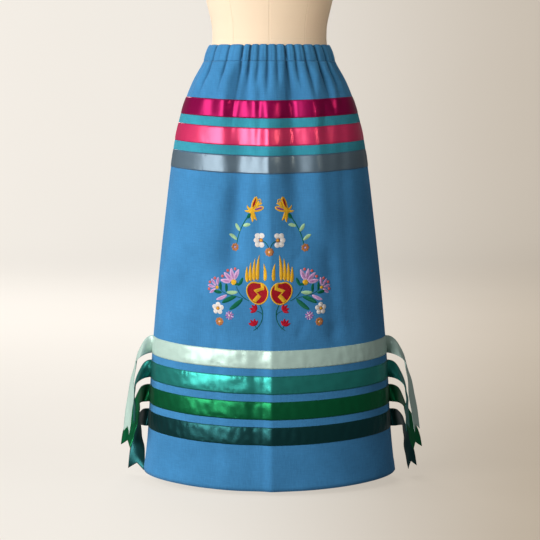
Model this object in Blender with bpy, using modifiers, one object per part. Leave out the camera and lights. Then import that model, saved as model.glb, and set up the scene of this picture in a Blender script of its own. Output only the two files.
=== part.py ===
"""Ribbon skirt worn by a limbless dress form on a short stand.

Metres, +Z up. The origin is the middle of the stand's underside, the front of the skirt faces -Y,
and the wearer's left side is at +X. Cloth is lofted between unlike sections: gathered under the
elastic waistband, smooth from the hip down. A place on the cloth is an angle round the body, from
0 at the front to +-90 degrees at the side seams, and a distance down the cloth from the waistband.
"""

import bpy
import math
import numpy as np
from mathutils import Matrix

GAP = 0.0003              # clearance between neighbouring pieces
CLOTH = 0.0015            # wall of the cotton panels
BAND_WALL = 0.0025        # folded cotton and elastic of the waistband
RIBBON_WALL = 0.0010
TAIL_WALL = 0.0012
TAIL_CLEAR = 0.0004       # clearance between a sewn ribbon's end and its free tail

BAND_TOP_Z = 0.9401
BAND_SEAM_Z = 0.9053
SKIRT_LENGTH = 0.900      # down the cloth, from the waistband's seam to the hem
RIBBON_WIDTH = 0.038
UPPER_GAP = 0.020         # the teal strips fill these
LOWER_GAP = 0.0155
UPPER_START = 0.0835      # down the cloth to the first upper ribbon
LOWER_START = 0.605       # and to the first lower one

# Outline of the cloth, from the waistband's top to the hem.
SKIRT_COLUMNS = ("z", "half_width", "front_depth", "back_depth")
SKIRT_SECTIONS = (
    (0.9401, 0.1285, 0.1045, 0.1045),
    (0.9053, 0.1408, 0.1120, 0.1100),
    (0.8650, 0.1629, 0.1190, 0.1210),
    (0.8134, 0.1833, 0.1270, 0.1360),
    (0.7616, 0.1973, 0.1340, 0.1470),
    (0.6846, 0.2107, 0.1430, 0.1570),
    (0.5812, 0.2236, 0.1520, 0.1650),
    (0.4266, 0.2408, 0.1630, 0.1740),
    (0.2500, 0.2560, 0.1740, 0.1840),
    (0.0906, 0.2652, 0.1820, 0.1900),
    (-0.020, 0.2740, 0.1890, 0.1960),
)

# The gathers of one half: each row is the bottom of a fold. Length is how far down the cloth it runs.
GATHER_COLUMNS = ("degrees", "depth", "length")
FRONT_GATHERS = (
    (-75.0, 0.0025, 0.08),
    (-58.7, 0.0030, 0.10),
    (-40.0, 0.0035, 0.09),
    (-25.0, 0.0060, 0.19),
    (-17.3, 0.0045, 0.12),
    (-9.5, 0.0025, 0.07),
    (-1.5, 0.0030, 0.09),
    (6.5, 0.0025, 0.07),
    (15.1, 0.0060, 0.20),
    (23.5, 0.0030, 0.08),
    (33.1, 0.0035, 0.10),
    (46.9, 0.0050, 0.16),
    (58.5, 0.0035, 0.12),
    (73.0, 0.0025, 0.08),
)
BACK_GATHERS = (
    (-74.0, 0.0025, 0.09),
    (-61.0, 0.0035, 0.12),
    (-48.5, 0.0050, 0.17),
    (-35.0, 0.0030, 0.09),
    (-26.5, 0.0040, 0.13),
    (-16.5, 0.0055, 0.19),
    (-7.5, 0.0025, 0.08),
    (2.0, 0.0035, 0.11),
    (11.0, 0.0030, 0.08),
    (21.5, 0.0060, 0.20),
    (32.0, 0.0030, 0.09),
    (44.5, 0.0040, 0.13),
    (59.0, 0.0045, 0.14),
    (75.0, 0.0025, 0.08),
)
BAND_GATHER = 0.35        # share of a gather's depth that shows on the waistband

# A free ribbon tail leaves the side seam and falls. Out and down are sizes in the view from the
# front, and depth is how far behind the seam it ends. Its width starts upright, turns edge-on in
# the fold where it begins to hang, and then eases back to the last angle, turn.
TAIL_COLUMNS = ("ribbon", "out", "down", "depth", "turn")
RIGHT_TAILS = (
    ("mint", 0.057, 0.178, -0.034, 66.0),
    ("aqua", 0.044, 0.136, -0.011, 66.0),
    ("green", 0.056, 0.106, 0.028, 50.0),
    ("pine", 0.034, 0.098, 0.058, 38.0),
)
LEFT_TAILS = (
    ("mint", 0.066, 0.168, -0.034, 74.0),
    ("aqua", 0.050, 0.134, -0.011, 72.0),
    ("green", 0.064, 0.108, 0.028, 56.0),
    ("pine", 0.050, 0.098, 0.058, 52.0),
)
TAIL_STEPS = 8
TAIL_NOTCH = 0.014        # depth of the swallowtail cut
TAIL_FOLD = 84.0          # how far a tail's width has turned where it begins to hang

FORM_COLUMNS = ("z", "half_width", "front_depth", "back_depth", "squareness")
FORM_SECTIONS = (
    (0.600, 0.1560, 0.0980, 0.1120, 2.0),
    (0.660, 0.1710, 0.1080, 0.1250, 2.0),
    (0.730, 0.1790, 0.1130, 0.1320, 2.0),
    (0.800, 0.1680, 0.1100, 0.1230, 2.0),
    (0.860, 0.1470, 0.1030, 0.1090, 2.0),
    (0.905, 0.1310, 0.1000, 0.1000, 2.0),
    (0.940, 0.1228, 0.0980, 0.0970, 2.0),
    (0.970, 0.1220, 0.0975, 0.0970, 2.0),
    (1.037, 0.1352, 0.1040, 0.1000, 2.0),
    (1.100, 0.1470, 0.1100, 0.1060, 2.1),
    (1.160, 0.1580, 0.1120, 0.1110, 2.2),
    (1.220, 0.1680, 0.1080, 0.1120, 2.3),
    (1.275, 0.1800, 0.0960, 0.1060, 2.4),
    (1.312, 0.1760, 0.0820, 0.0930, 2.3),
    (1.338, 0.1400, 0.0700, 0.0790, 2.1),
    (1.358, 0.0950, 0.0620, 0.0670, 2.0),
    (1.375, 0.0680, 0.0570, 0.0580, 2.0),
    (1.395, 0.0590, 0.0540, 0.0540, 2.0),
    (1.430, 0.0570, 0.0530, 0.0530, 2.0),
)
FORM_SIDES = 36
SHARP_DEGREES = 40.0      # faces that meet at more than this keep a sharp edge
BUST_Z = 1.165
BUST_HEIGHT = 0.055
BUST_DEGREES = 27.0
BUST_SPREAD = 21.0
BUST_DEPTH = 0.026
ARM_PLANE = 0.1620        # the flat of the armhole
ARM_PLATE_Z = 1.262
ARM_PLATE_HALF = (0.036, 0.044)
ARM_PLATE_WALL = 0.006

POLE_RADIUS = 0.0125
BASE_RADIUS = 0.130
BASE_EDGE = 0.005
BASE_TOP = 0.008
BOSS_RADIUS = 0.026
BOSS_TOP = 0.040
FLANGE_RADIUS = 0.050
FLANGE_WALL = 0.006
NECK_CAP_RADIUS = 0.0585


def clear_scene():
    for thing in list(bpy.data.objects):
        bpy.data.objects.remove(thing)


def paint(name, colour, roughness, metallic=0.0):
    """A plain Principled material."""
    material = bpy.data.materials.new(name)
    material.use_nodes = True
    shader = material.node_tree.nodes["Principled BSDF"]
    shader.inputs["Base Color"].default_value = (*colour, 1.0)
    shader.inputs["Roughness"].default_value = roughness
    shader.inputs["Metallic"].default_value = metallic
    return material


def column(table, names, name):
    """One named column of a table, as an array."""
    return np.array([row[names.index(name)] for row in table])


def outline(z, table, names, name):
    """A named size of the outline at heights z."""
    heights = column(table, names, "z")
    sizes = column(table, names, name)
    order = np.argsort(heights)
    return np.interp(z, heights[order], sizes[order])


def half_sections(angles, z, back):
    """(points, outward directions) of the smooth cloth at angles from the middle of one half."""
    depth_name = "back_depth" if back else "front_depth"
    a = outline(z, SKIRT_SECTIONS, SKIRT_COLUMNS, "half_width")
    b = outline(z, SKIRT_SECTIONS, SKIRT_COLUMNS, depth_name)
    side = 1.0 if back else -1.0
    x, y = a * np.sin(angles), side * b * np.cos(angles)
    out = np.stack([np.sin(angles) / a, side * np.cos(angles) / b, np.zeros_like(x)], axis=-1)
    out /= np.linalg.norm(out, axis=-1, keepdims=True)
    return np.stack([x, y, z], axis=-1), out


def heights_down(angles, distances, back):
    """Height of each angle at each distance down the cloth: the way down is measured along the
    surface, so the cloth rides higher over the hips' sides than at the front."""
    ladder = np.arange(BAND_SEAM_Z, -0.019, -0.004)
    found = np.empty((len(distances), len(angles)))
    for k, angle in enumerate(angles):
        points, _ = half_sections(np.full(len(ladder), angle), ladder, back)
        steps = np.linalg.norm(np.diff(points, axis=0), axis=1)
        walked = np.concatenate([[0.0], np.cumsum(steps)])
        found[:, k] = np.interp(distances, walked, ladder)
    return found


def gather_columns(gathers):
    """(angles, depths, lengths) of a half's columns: the folds' bottoms, with a ridge between each
    pair and plain cloth at both side seams."""
    bottoms = column(gathers, GATHER_COLUMNS, "degrees")
    ridges = (bottoms[1:] + bottoms[:-1]) / 2
    count = 2 * len(bottoms) + 1
    angles, depths, lengths = np.zeros(count), np.zeros(count), np.full(count, 0.1)
    angles[0], angles[-1] = -90.0, 90.0
    angles[1::2] = bottoms
    angles[2:-1:2] = ridges
    depths[1::2] = column(gathers, GATHER_COLUMNS, "depth")
    lengths[1::2] = column(gathers, GATHER_COLUMNS, "length")
    return np.radians(angles), depths, lengths


def clear_of_seam(points, back):
    """Moves a half's two side columns off the seam's plane."""
    points[:, [0, -1], 1] = (1 if back else -1) * GAP / 2
    return points


def cloth_grid(gathers, distances, back):
    """(points, outward directions) of a half's outer surface, one row for each distance."""
    angles, depths, lengths = gather_columns(gathers)
    z = heights_down(angles, distances, back)
    points, out = half_sections(np.broadcast_to(angles, z.shape), z, back)
    down = np.array(distances)[:, None]
    rise = 0.5 + 0.5 * np.minimum(down / 0.03, 1.0)
    fade = np.clip(1.0 - down / lengths, 0.0, 1.0) ** 1.2
    points = points - out * (depths * rise * fade)[..., None]
    return clear_of_seam(points, back), out


def link(name, mesh, material):
    """A new object of the part, shaded smooth but for its real edges."""
    thing = bpy.data.objects.new(name, mesh)
    mesh.materials.append(material)
    mesh.shade_smooth()
    mesh.set_sharp_from_angle(angle=math.radians(SHARP_DEGREES))
    PARTS.objects.link(thing)
    return thing


def wall(name, outer, inner, material, closed=False):
    """A cloth wall between two grids of points, with rims round its edges. A closed wall is a ring,
    whose last column meets its first."""
    rows, columns = outer.shape[:2]
    size = rows * columns

    def at(row, col):
        return row * columns + col % columns

    faces = []
    spans = columns if closed else columns - 1
    for row in range(rows - 1):
        for col in range(spans):
            ring = (at(row, col), at(row + 1, col), at(row + 1, col + 1), at(row, col + 1))
            faces.append(ring)
            faces.append(tuple(size + corner for corner in (ring[0], ring[3], ring[2], ring[1])))
    for col in range(spans):
        for row, flip in ((0, False), (rows - 1, True)):
            rim = (at(row, col), at(row, col + 1), size + at(row, col + 1), size + at(row, col))
            faces.append(rim[::-1] if flip else rim)
    if not closed:
        for row in range(rows - 1):
            for col, flip in ((0, True), (columns - 1, False)):
                rim = (at(row, col), at(row + 1, col), size + at(row + 1, col), size + at(row, col))
                faces.append(rim[::-1] if flip else rim)
    mesh = bpy.data.meshes.new(name)
    points = np.concatenate([outer.reshape(-1, 3), inner.reshape(-1, 3)])
    mesh.from_pydata(points.tolist(), [], faces)
    mesh.validate()
    return link(name, mesh, material)


def sew_rows(first, widths_and_gaps):
    """Distances down the cloth, from the first one by a list of steps."""
    return [first + sum(widths_and_gaps[:k]) for k in range(len(widths_and_gaps) + 1)]


def panel_and_ribbons(half, gathers, back, materials):
    """One cotton panel and the ribbons sewn across it, each from the panel's own points."""
    w = RIBBON_WIDTH
    upper = sew_rows(UPPER_START, [w, UPPER_GAP, w, UPPER_GAP, w])
    lower = sew_rows(LOWER_START, [w, LOWER_GAP, w, LOWER_GAP, w, LOWER_GAP, w])
    rows = [GAP, 0.035, *upper, 0.36, 0.485, *lower, SKIRT_LENGTH]
    points, out = cloth_grid(gathers, rows, back)
    if back:
        points, out = points[:, ::-1], out[:, ::-1]
    wall(f"skirt_{half}", points, points - out * CLOTH, materials["cotton"])

    def ribbon(name, top, clear):
        """A strip from one row of the panel to the next, drawn in at its edges by clear."""
        first = rows.index(top)
        pair, along = points[first : first + 2], out[first : first + 2]
        step = (pair[1] - pair[0]) * clear / (rows[first + 1] - rows[first])
        under = np.stack([pair[0] + step, pair[1] - step]) + along * GAP
        wall(f"{name}_{half}", under + along * RIBBON_WALL, under, materials[name.split("_")[1]])

    for name, top in zip(("magenta", "teal_1", "pink", "teal_2", "slate"), upper):
        kind = "strip_" if name.startswith("teal") else "ribbon_"
        ribbon(kind + name, top, GAP / 2)
    for name, top in zip(("mint", "aqua", "green", "pine"), lower[::2]):
        ribbon("ribbon_" + name, top, 0.0)


def waistband(materials):
    """A ring of gathered cotton over elastic, a little rounded towards its top."""
    halves = []
    for gathers, back in ((FRONT_GATHERS, False), (BACK_GATHERS, True)):
        angles, depths, _ = gather_columns(gathers)
        z = np.array([BAND_SEAM_Z, BAND_TOP_Z - 0.006, BAND_TOP_Z])[:, None]
        z = np.broadcast_to(z, (3, len(angles)))
        points, out = half_sections(np.broadcast_to(angles, z.shape), z, back)
        points = points - out * (depths * BAND_GATHER)[:, None]
        points[-1] -= out[-1] * 0.0004
        halves.append((points[:, ::-1], out[:, ::-1]) if back else (points, out))
    points, out = (np.concatenate([f[:, :-1], b[:, :-1]], axis=1) for f, b in zip(*halves))
    points, out = points[::-1], out[::-1]
    wall("waistband", points, points - out * BAND_WALL, materials["cotton"], closed=True)


def bezier(ends, t):
    """Points along a cubic curve."""
    t = t[:, None]
    p = [np.array(end) for end in ends]
    return p[0] * (1 - t) ** 3 + 3 * p[1] * t * (1 - t) ** 2 + 3 * p[2] * t**2 * (1 - t) + p[3] * t**3


def smooth(t):
    t = np.clip(t, 0.0, 1.0)
    return t * t * (3 - 2 * t)


def tail(side, row, start, upright, material):
    """A free ribbon end: its middle line leaves the seam level, falls in a curve and hangs, while
    its width turns about that line. The end is cut to a swallowtail."""
    out, down, depth = row["out"], row["down"], row["depth"]
    sign = 1.0 if side == "left" else -1.0
    t = np.linspace(0.0, 1.0, TAIL_STEPS + 1)
    reach = np.array([sign, 0.0, 0.0])
    ends = [
        start,
        start + reach * out * 0.60 + (0, depth * 0.10, 0.002),
        start + reach * out * 0.78 + (0, depth * 0.80, -down * 0.30),
        start + reach * out + (0, depth, -down),
    ]
    line = bezier(ends, t)
    along = np.gradient(line, axis=0)
    along[0] = reach
    along /= np.linalg.norm(along, axis=1, keepdims=True)
    upward = upright - along * (along @ upright)[:, None]
    outward = reach - along * (along @ reach)[:, None]
    upward = upward * (1 - smooth(t / 0.5))[:, None] + outward * smooth(t / 0.5)[:, None]
    upward /= np.linalg.norm(upward, axis=1, keepdims=True)
    turned_by = TAIL_FOLD * smooth(t / 0.35) + (row["turn"] - TAIL_FOLD) * smooth((t - 0.35) / 0.4)
    turned_by = np.radians(turned_by)[:, None]
    width = upward * np.cos(turned_by) + np.cross(along, upward) * -sign * np.sin(turned_by)
    face = np.cross(along, width)
    width += along * (upright @ reach) * (1 - smooth(t / 0.3))[:, None]
    across = np.array([-1.0, 0.0, 1.0]) * RIBBON_WIDTH / 2
    points = line[:, None] + width[:, None] * across[None, :, None]
    points[-1, 1] -= along[-1] * TAIL_NOTCH
    lift = face[:, None] * TAIL_WALL / 2
    wall(f"tail_{row['ribbon']}_{side}", points + lift, points - lift, material)


def tails(materials):
    """Four tails at each side seam. Each starts just clear of its sewn ribbon's end, along the
    slope of the skirt's side."""
    clear = GAP + RIBBON_WALL + TAIL_CLEAR
    for side, table in (("left", LEFT_TAILS), ("right", RIGHT_TAILS)):
        sign = 1.0 if side == "left" else -1.0
        for k, values in enumerate(table):
            row = dict(zip(TAIL_COLUMNS, values))
            top = LOWER_START + k * (RIBBON_WIDTH + LOWER_GAP)
            z = heights_down(np.array([math.pi / 2]), [top, top + RIBBON_WIDTH], False)[:, 0]
            x = sign * (outline(z, SKIRT_SECTIONS, SKIRT_COLUMNS, "half_width") + clear)
            ends = np.stack([x, np.zeros(2), z], axis=-1)
            upright = (ends[0] - ends[1]) / np.linalg.norm(ends[0] - ends[1])
            tail(side, row, ends.mean(0), upright, materials[row["ribbon"]])


def form_ring(z):
    """Points of the dress form round one height, with the bust and the flat armholes."""
    sizes = [outline(z, FORM_SECTIONS, FORM_COLUMNS, name) for name in FORM_COLUMNS[1:]]
    a, front, rear, power = sizes
    angles = np.arange(FORM_SIDES) * math.tau / FORM_SIDES
    s, c = np.sin(angles), -np.cos(angles)
    x = np.sign(s) * np.abs(s) ** (2 / power) * a
    y = np.sign(c) * np.abs(c) ** (2 / power) * np.where(c < 0, front, rear)
    off = np.degrees(np.abs((angles + math.pi) % math.tau - math.pi))
    lobe = np.exp(-(((off - BUST_DEGREES) / BUST_SPREAD) ** 2))
    y -= BUST_DEPTH * lobe * math.exp(-(((z - BUST_Z) / BUST_HEIGHT) ** 2))
    x = np.clip(x, -ARM_PLANE, ARM_PLANE) if z > 1.0 else x
    return np.stack([x, y, np.full_like(x, z)], axis=-1)


def form_torso(material):
    """The padded torso, lofted ring by ring from the hip to the neck, with flat ends."""
    heights = column(FORM_SECTIONS, FORM_COLUMNS, "z")
    middles = (heights[1:] + heights[:-1]) / 2
    heights = np.sort(np.concatenate([heights, middles[3:14]]))
    rings = np.stack([form_ring(z) for z in heights])
    count = FORM_SIDES
    faces = []
    for row in range(len(rings) - 1):
        for k in range(count):
            low, high = row * count, (row + 1) * count
            faces.append((low + k, low + (k + 1) % count, high + (k + 1) % count, high + k))
    faces.append(tuple(range(count))[::-1])
    faces.append(tuple((len(rings) - 1) * count + k for k in range(count)))
    mesh = bpy.data.meshes.new("form_torso")
    mesh.from_pydata(rings.reshape(-1, 3).tolist(), [], faces)
    mesh.validate()
    link("form_torso", mesh, material)


def turned(name, profile, material, steps=32):
    """A solid of revolution about the stand's axis, from (radius, height) points, top to bottom."""
    mesh = bpy.data.meshes.new(name)
    edges = [(k, k + 1) for k in range(len(profile) - 1)]
    mesh.from_pydata([(r, 0.0, z) for r, z in profile], edges, [])
    thing = link(name, mesh, material)
    screw = thing.modifiers.new("turn", "SCREW")
    screw.steps = screw.render_steps = steps
    screw.use_merge_vertices = True
    screw.merge_threshold = 0.00005
    return thing


def stand(materials):
    """Base, pole, the flange under the torso and the cap on its neck."""
    steel, wood = materials["steel"], materials["wood"]
    base = [
        (0, BOSS_TOP), (BOSS_RADIUS * 0.8, BOSS_TOP), (BOSS_RADIUS, BOSS_TOP / 2),
        (BOSS_RADIUS + 0.010, BASE_TOP + 0.002), (BASE_RADIUS - 0.010, BASE_TOP - 0.001),
        (BASE_RADIUS, BASE_EDGE), (BASE_RADIUS, 0), (0, 0),
    ]
    turned("form_base", base, steel)
    foot, head = BOSS_TOP + GAP, FORM_SECTIONS[0][0] - FLANGE_WALL - 2 * GAP
    turned("form_pole", [(0, head), (POLE_RADIUS, head), (POLE_RADIUS, foot), (0, foot)], steel, 20)
    top = FORM_SECTIONS[0][0] - GAP
    low, r = top - FLANGE_WALL, FLANGE_RADIUS
    turned("form_flange", [(0, top), (r, top), (r, low), (0, low)], steel, 24)
    neck = FORM_SECTIONS[-1][0] + GAP
    r = NECK_CAP_RADIUS
    knob = [(0, 0.060), (0.010, 0.057), (0.014, 0.048), (0.010, 0.036), (0.008, 0.026), (0.020, 0.018)]
    disc = [(r * 0.75, 0.013), (r, 0.007), (r, 0), (0, 0)]
    turned("form_neck_cap", [(radius, neck + up) for radius, up in knob + disc], wood)
    for sign, side in ((1, "left"), (-1, "right")):
        bpy.ops.mesh.primitive_cylinder_add(vertices=28, radius=1.0, depth=1.0)
        plate = bpy.context.object
        half_y, half_z = ARM_PLATE_HALF
        plate.data.transform(Matrix.Diagonal((half_y, half_z, ARM_PLATE_WALL, 1.0)))
        plate.name = plate.data.name = f"form_arm_plate_{side}"
        plate.location = (sign * (ARM_PLANE + GAP + ARM_PLATE_WALL / 2), 0.004, ARM_PLATE_Z)
        plate.rotation_euler = (math.pi / 2, 0.0, math.pi / 2)
        plate.data.materials.append(wood)
        for owner in plate.users_collection:
            owner.objects.unlink(plate)
        PARTS.objects.link(plate)


clear_scene()
PARTS = bpy.data.collections.new("ribbon_skirt_on_form")
bpy.context.scene.collection.children.link(PARTS)
PAINTS = {
    "cotton": paint("blue_cotton", (0.055, 0.23, 0.56), 0.85),
    "magenta": paint("magenta_satin", (0.48, 0.003, 0.13), 0.35),
    "teal": paint("teal_cotton", (0.02, 0.28, 0.37), 0.8),
    "pink": paint("pink_satin", (0.86, 0.05, 0.20), 0.35),
    "slate": paint("slate_satin", (0.07, 0.15, 0.25), 0.35),
    "mint": paint("mint_satin", (0.42, 0.66, 0.55), 0.35),
    "aqua": paint("aqua_satin", (0.0, 0.27, 0.21), 0.35),
    "green": paint("green_satin", (0.0, 0.14, 0.03), 0.35),
    "pine": paint("pine_satin", (0.003, 0.04, 0.045), 0.35),
    "linen": paint("cream_linen", (0.78, 0.64, 0.45), 0.9),
    "wood": paint("turned_wood", (0.30, 0.17, 0.08), 0.5),
    "steel": paint("painted_steel", (0.03, 0.03, 0.03), 0.45, 0.6),
}
panel_and_ribbons("front", FRONT_GATHERS, False, PAINTS)
panel_and_ribbons("back", BACK_GATHERS, True, PAINTS)
waistband(PAINTS)
tails(PAINTS)
form_torso(PAINTS["linen"])
stand(PAINTS)
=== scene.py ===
"""Looks of a ribbon skirt on a limbless dress form: cotton panels gathered by an elastic waist, satin
ribbons with free swallowtail ends, raised thread embroidery, and a jersey-covered form.

Metres, +Z up, front towards -Y. A place on the cloth is an angle round one half of the skirt, from
-90 degrees at its left seam, seen from outside, to +90 at its right, and a distance down the cloth
from the waistband's seam.
"""

import math

import bpy
import numpy as np
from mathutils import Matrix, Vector


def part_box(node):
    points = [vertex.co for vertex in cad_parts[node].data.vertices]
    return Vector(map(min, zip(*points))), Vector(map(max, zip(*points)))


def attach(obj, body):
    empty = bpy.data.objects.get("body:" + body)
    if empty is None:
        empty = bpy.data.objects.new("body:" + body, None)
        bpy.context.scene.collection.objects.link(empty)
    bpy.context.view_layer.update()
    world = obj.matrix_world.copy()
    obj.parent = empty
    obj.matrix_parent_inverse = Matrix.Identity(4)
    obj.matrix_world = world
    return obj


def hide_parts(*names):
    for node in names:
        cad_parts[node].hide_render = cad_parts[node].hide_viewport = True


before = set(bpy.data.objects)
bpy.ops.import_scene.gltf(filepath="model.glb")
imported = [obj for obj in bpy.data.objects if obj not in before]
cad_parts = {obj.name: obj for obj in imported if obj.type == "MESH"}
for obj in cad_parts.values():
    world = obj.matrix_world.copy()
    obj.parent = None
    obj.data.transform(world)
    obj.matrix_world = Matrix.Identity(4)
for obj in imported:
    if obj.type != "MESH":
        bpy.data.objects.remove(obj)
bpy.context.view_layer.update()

# ---------------------------------------------------------------- sizes, as the frame has them

BAND_TOP_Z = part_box("waistband")[1].z
BAND_SEAM_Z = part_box("waistband")[0].z
SKIRT_LENGTH = 0.900
RIBBON_WIDTH = 0.038
UPPER_GAP = 0.020
LOWER_GAP = 0.0155
UPPER_START = 0.0835
LOWER_START = 0.605
HEM_DEPTH = 0.020

SECTION_COLUMNS = ("z", "half_width", "front_depth", "back_depth")
SECTIONS = np.array([
    (0.9401, 0.1285, 0.1045, 0.1045),
    (0.9053, 0.1408, 0.1120, 0.1100),
    (0.8650, 0.1629, 0.1190, 0.1210),
    (0.8134, 0.1833, 0.1270, 0.1360),
    (0.7616, 0.1973, 0.1340, 0.1470),
    (0.6846, 0.2107, 0.1430, 0.1570),
    (0.5812, 0.2236, 0.1520, 0.1650),
    (0.4266, 0.2408, 0.1630, 0.1740),
    (0.2500, 0.2560, 0.1740, 0.1840),
    (0.0906, 0.2656, 0.1820, 0.1900),
    (-0.020, 0.2785, 0.1890, 0.1960),
])

# The bottoms of the gathers' folds, by angle, and how deep and how far down the cloth each runs.
GATHER_COLUMNS = ("degrees", "depth", "length")
FRONT_GATHERS = np.array([
    (-75.0, 0.0030, 0.10), (-58.7, 0.0042, 0.13), (-40.0, 0.0045, 0.11), (-25.0, 0.0075, 0.21),
    (-17.3, 0.0058, 0.12), (-9.5, 0.0036, 0.08), (-1.5, 0.0040, 0.10), (6.5, 0.0034, 0.08),
    (15.1, 0.0085, 0.21), (23.5, 0.0040, 0.08), (33.1, 0.0045, 0.12), (46.9, 0.0060, 0.16),
    (58.5, 0.0042, 0.12), (73.0, 0.0032, 0.09),
])
BACK_GATHERS = np.array([
    (-75.0, 0.0030, 0.09), (-59.0, 0.0052, 0.14), (-44.5, 0.0048, 0.13), (-32.0, 0.0036, 0.09),
    (-21.5, 0.0072, 0.17), (-11.0, 0.0036, 0.08), (-2.0, 0.0045, 0.11), (7.5, 0.0034, 0.08),
    (16.5, 0.0068, 0.16), (26.5, 0.0050, 0.13), (35.0, 0.0036, 0.09), (48.5, 0.0060, 0.15),
    (61.0, 0.0045, 0.12), (74.0, 0.0030, 0.09),
])

GATHER_FULL = 0.0030      # how far the gathered fullness stands forward
GATHER_RUN = 0.16         # how far down the cloth it goes
CRIMP_WIDTH = 0.022       # half width of the pinched line at each fold's bottom, radians

# Soft folds of the body: a straight run across the cloth, from one place to another, with its half
# width and its height, which is negative in a trough.
FOLD_COLUMNS = ("x", "down", "end_x", "end_down", "half_width", "height")
FRONT_FOLDS = np.array([
    (-0.0590, 0.020, -0.0640, 0.240, 0.0150, -0.0165),
    (-0.0665, 0.245, -0.0830, 0.440, 0.0145, -0.0160),
    (-0.0200, 0.040, -0.0200, 0.190, 0.0060, -0.0042),
    (0.0430, 0.020, 0.0640, 0.340, 0.0160, -0.0150),
    (-0.1180, 0.020, -0.1250, 0.130, 0.0090, -0.0045),
    (0.1140, 0.030, 0.1240, 0.180, 0.0100, -0.0040),
    (0.0950, 0.050, 0.1130, 0.360, 0.0115, 0.0042),
    (0.1490, 0.060, 0.1770, 0.620, 0.0100, -0.0026),
    (0.1260, 0.400, 0.1420, 0.610, 0.0120, -0.0040),
    (-0.1420, 0.440, -0.1450, 0.620, 0.0120, -0.0022),
    (-0.1100, 0.540, -0.1130, 0.860, 0.0085, -0.0022),
    (-0.0300, 0.600, -0.0340, 0.900, 0.0090, -0.0016),
    (0.0460, 0.430, 0.0720, 0.395, 0.0060, -0.0018),
    (0.0580, 0.580, 0.0760, 0.545, 0.0060, -0.0020),
    (0.1280, 0.585, 0.1480, 0.555, 0.0080, -0.0020),
])
BACK_FOLDS = np.array([
    (0.048, 0.030, 0.064, 0.330, 0.0130, -0.0060),
    (-0.052, 0.030, -0.068, 0.260, 0.0140, -0.0065),
    (-0.112, 0.040, -0.134, 0.250, 0.0110, -0.0040),
    (0.118, 0.050, 0.146, 0.300, 0.0120, -0.0036),
    (0.004, 0.060, 0.000, 0.220, 0.0080, -0.0028),
    (-0.020, 0.380, -0.030, 0.760, 0.0150, 0.0022),
    (0.090, 0.400, 0.104, 0.840, 0.0150, 0.0024),
    (-0.128, 0.420, -0.146, 0.820, 0.0140, -0.0022),
])
# The pressed middle of the front stands up like a low roof: its height, and how far it runs out to the
# right.
CREASE_RISE = 0.0064
CREASE_FALL = 0.050

# Each free ribbon end: how far out and down its arch reaches before it hangs, how far apart its edges
# look there from the front, where its tip is, how wide it looks there, and how far back it hangs, or
# forward where that is negative.
TAIL_COLUMNS = ("ribbon", "reach", "drop", "gap", "out", "down", "shown", "depth")
TAILS = {
    "right": (
        ("mint", 0.035, 0.050, 0.0015, 0.063, 0.207, 0.014, -0.034),
        ("aqua", 0.036, 0.055, 0.0025, 0.040, 0.142, 0.007, -0.011),
        ("green", 0.033, 0.036, 0.0160, 0.066, 0.141, 0.022, 0.028),
        ("pine", 0.029, 0.033, 0.0140, 0.050, 0.144, 0.035, 0.058),
    ),
    "left": (
        ("mint", 0.041, 0.052, 0.0020, 0.072, 0.202, 0.012, -0.034),
        ("aqua", 0.040, 0.060, 0.0025, 0.048, 0.152, 0.009, -0.011),
        ("green", 0.038, 0.049, 0.0060, 0.075, 0.145, 0.021, 0.028),
        ("pine", 0.035, 0.039, 0.0070, 0.063, 0.140, 0.020, 0.058),
    ),
}
TAIL_NOTCH = 0.014

# The form is an oval at each height, squared off as squareness rises from 2.
FORM_COLUMNS = ("z", "half_width", "front_depth", "back_depth", "squareness")
FORM_SECTIONS = np.array([
    (0.600, 0.1560, 0.0980, 0.1120, 2.0), (0.660, 0.1710, 0.1080, 0.1250, 2.0),
    (0.730, 0.1790, 0.1130, 0.1320, 2.0), (0.800, 0.1680, 0.1100, 0.1230, 2.0),
    (0.860, 0.1470, 0.1030, 0.1090, 2.0), (0.905, 0.1310, 0.1000, 0.1000, 2.0),
    (0.940, 0.1228, 0.0980, 0.0970, 2.0), (0.970, 0.1220, 0.0975, 0.0970, 2.0),
    (1.037, 0.1352, 0.1040, 0.1000, 2.0), (1.100, 0.1470, 0.1100, 0.1060, 2.1),
    (1.160, 0.1580, 0.1120, 0.1110, 2.2), (1.220, 0.1680, 0.1080, 0.1120, 2.3),
    (1.275, 0.1800, 0.0960, 0.1060, 2.4), (1.312, 0.1760, 0.0820, 0.0930, 2.3),
    (1.338, 0.1400, 0.0700, 0.0790, 2.1), (1.358, 0.0950, 0.0620, 0.0670, 2.0),
    (1.375, 0.0680, 0.0570, 0.0580, 2.0), (1.395, 0.0590, 0.0540, 0.0540, 2.0),
    (1.430, 0.0570, 0.0530, 0.0530, 2.0),
])

# ---------------------------------------------------------------- curves and the cloth's surface


def smooth(t):
    """3t^2 - 2t^3, held between 0 and 1."""
    t = np.clip(t, 0.0, 1.0)
    return t * t * (3 - 2 * t)


def flowing(x, knots, values):
    """Cubic curve through values at rising knots, its slope at each knot the central difference there."""
    slopes = np.gradient(values, knots)
    k = np.clip(np.searchsorted(knots, x) - 1, 0, len(knots) - 2)
    h = knots[k + 1] - knots[k]
    t = (x - knots[k]) / h
    start = (1 + 2 * t) * (1 - t) ** 2 * values[k] + t * (1 - t) ** 2 * h * slopes[k]
    end = t * t * (3 - 2 * t) * values[k + 1] + t * t * (t - 1) * h * slopes[k + 1]
    return start + end


def size_at(z, table, columns, name):
    """A named size of a table of sections at heights z."""
    rows = table[np.argsort(table[:, 0])]
    return flowing(np.asarray(z, float), rows[:, 0], rows[:, columns.index(name)])


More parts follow.
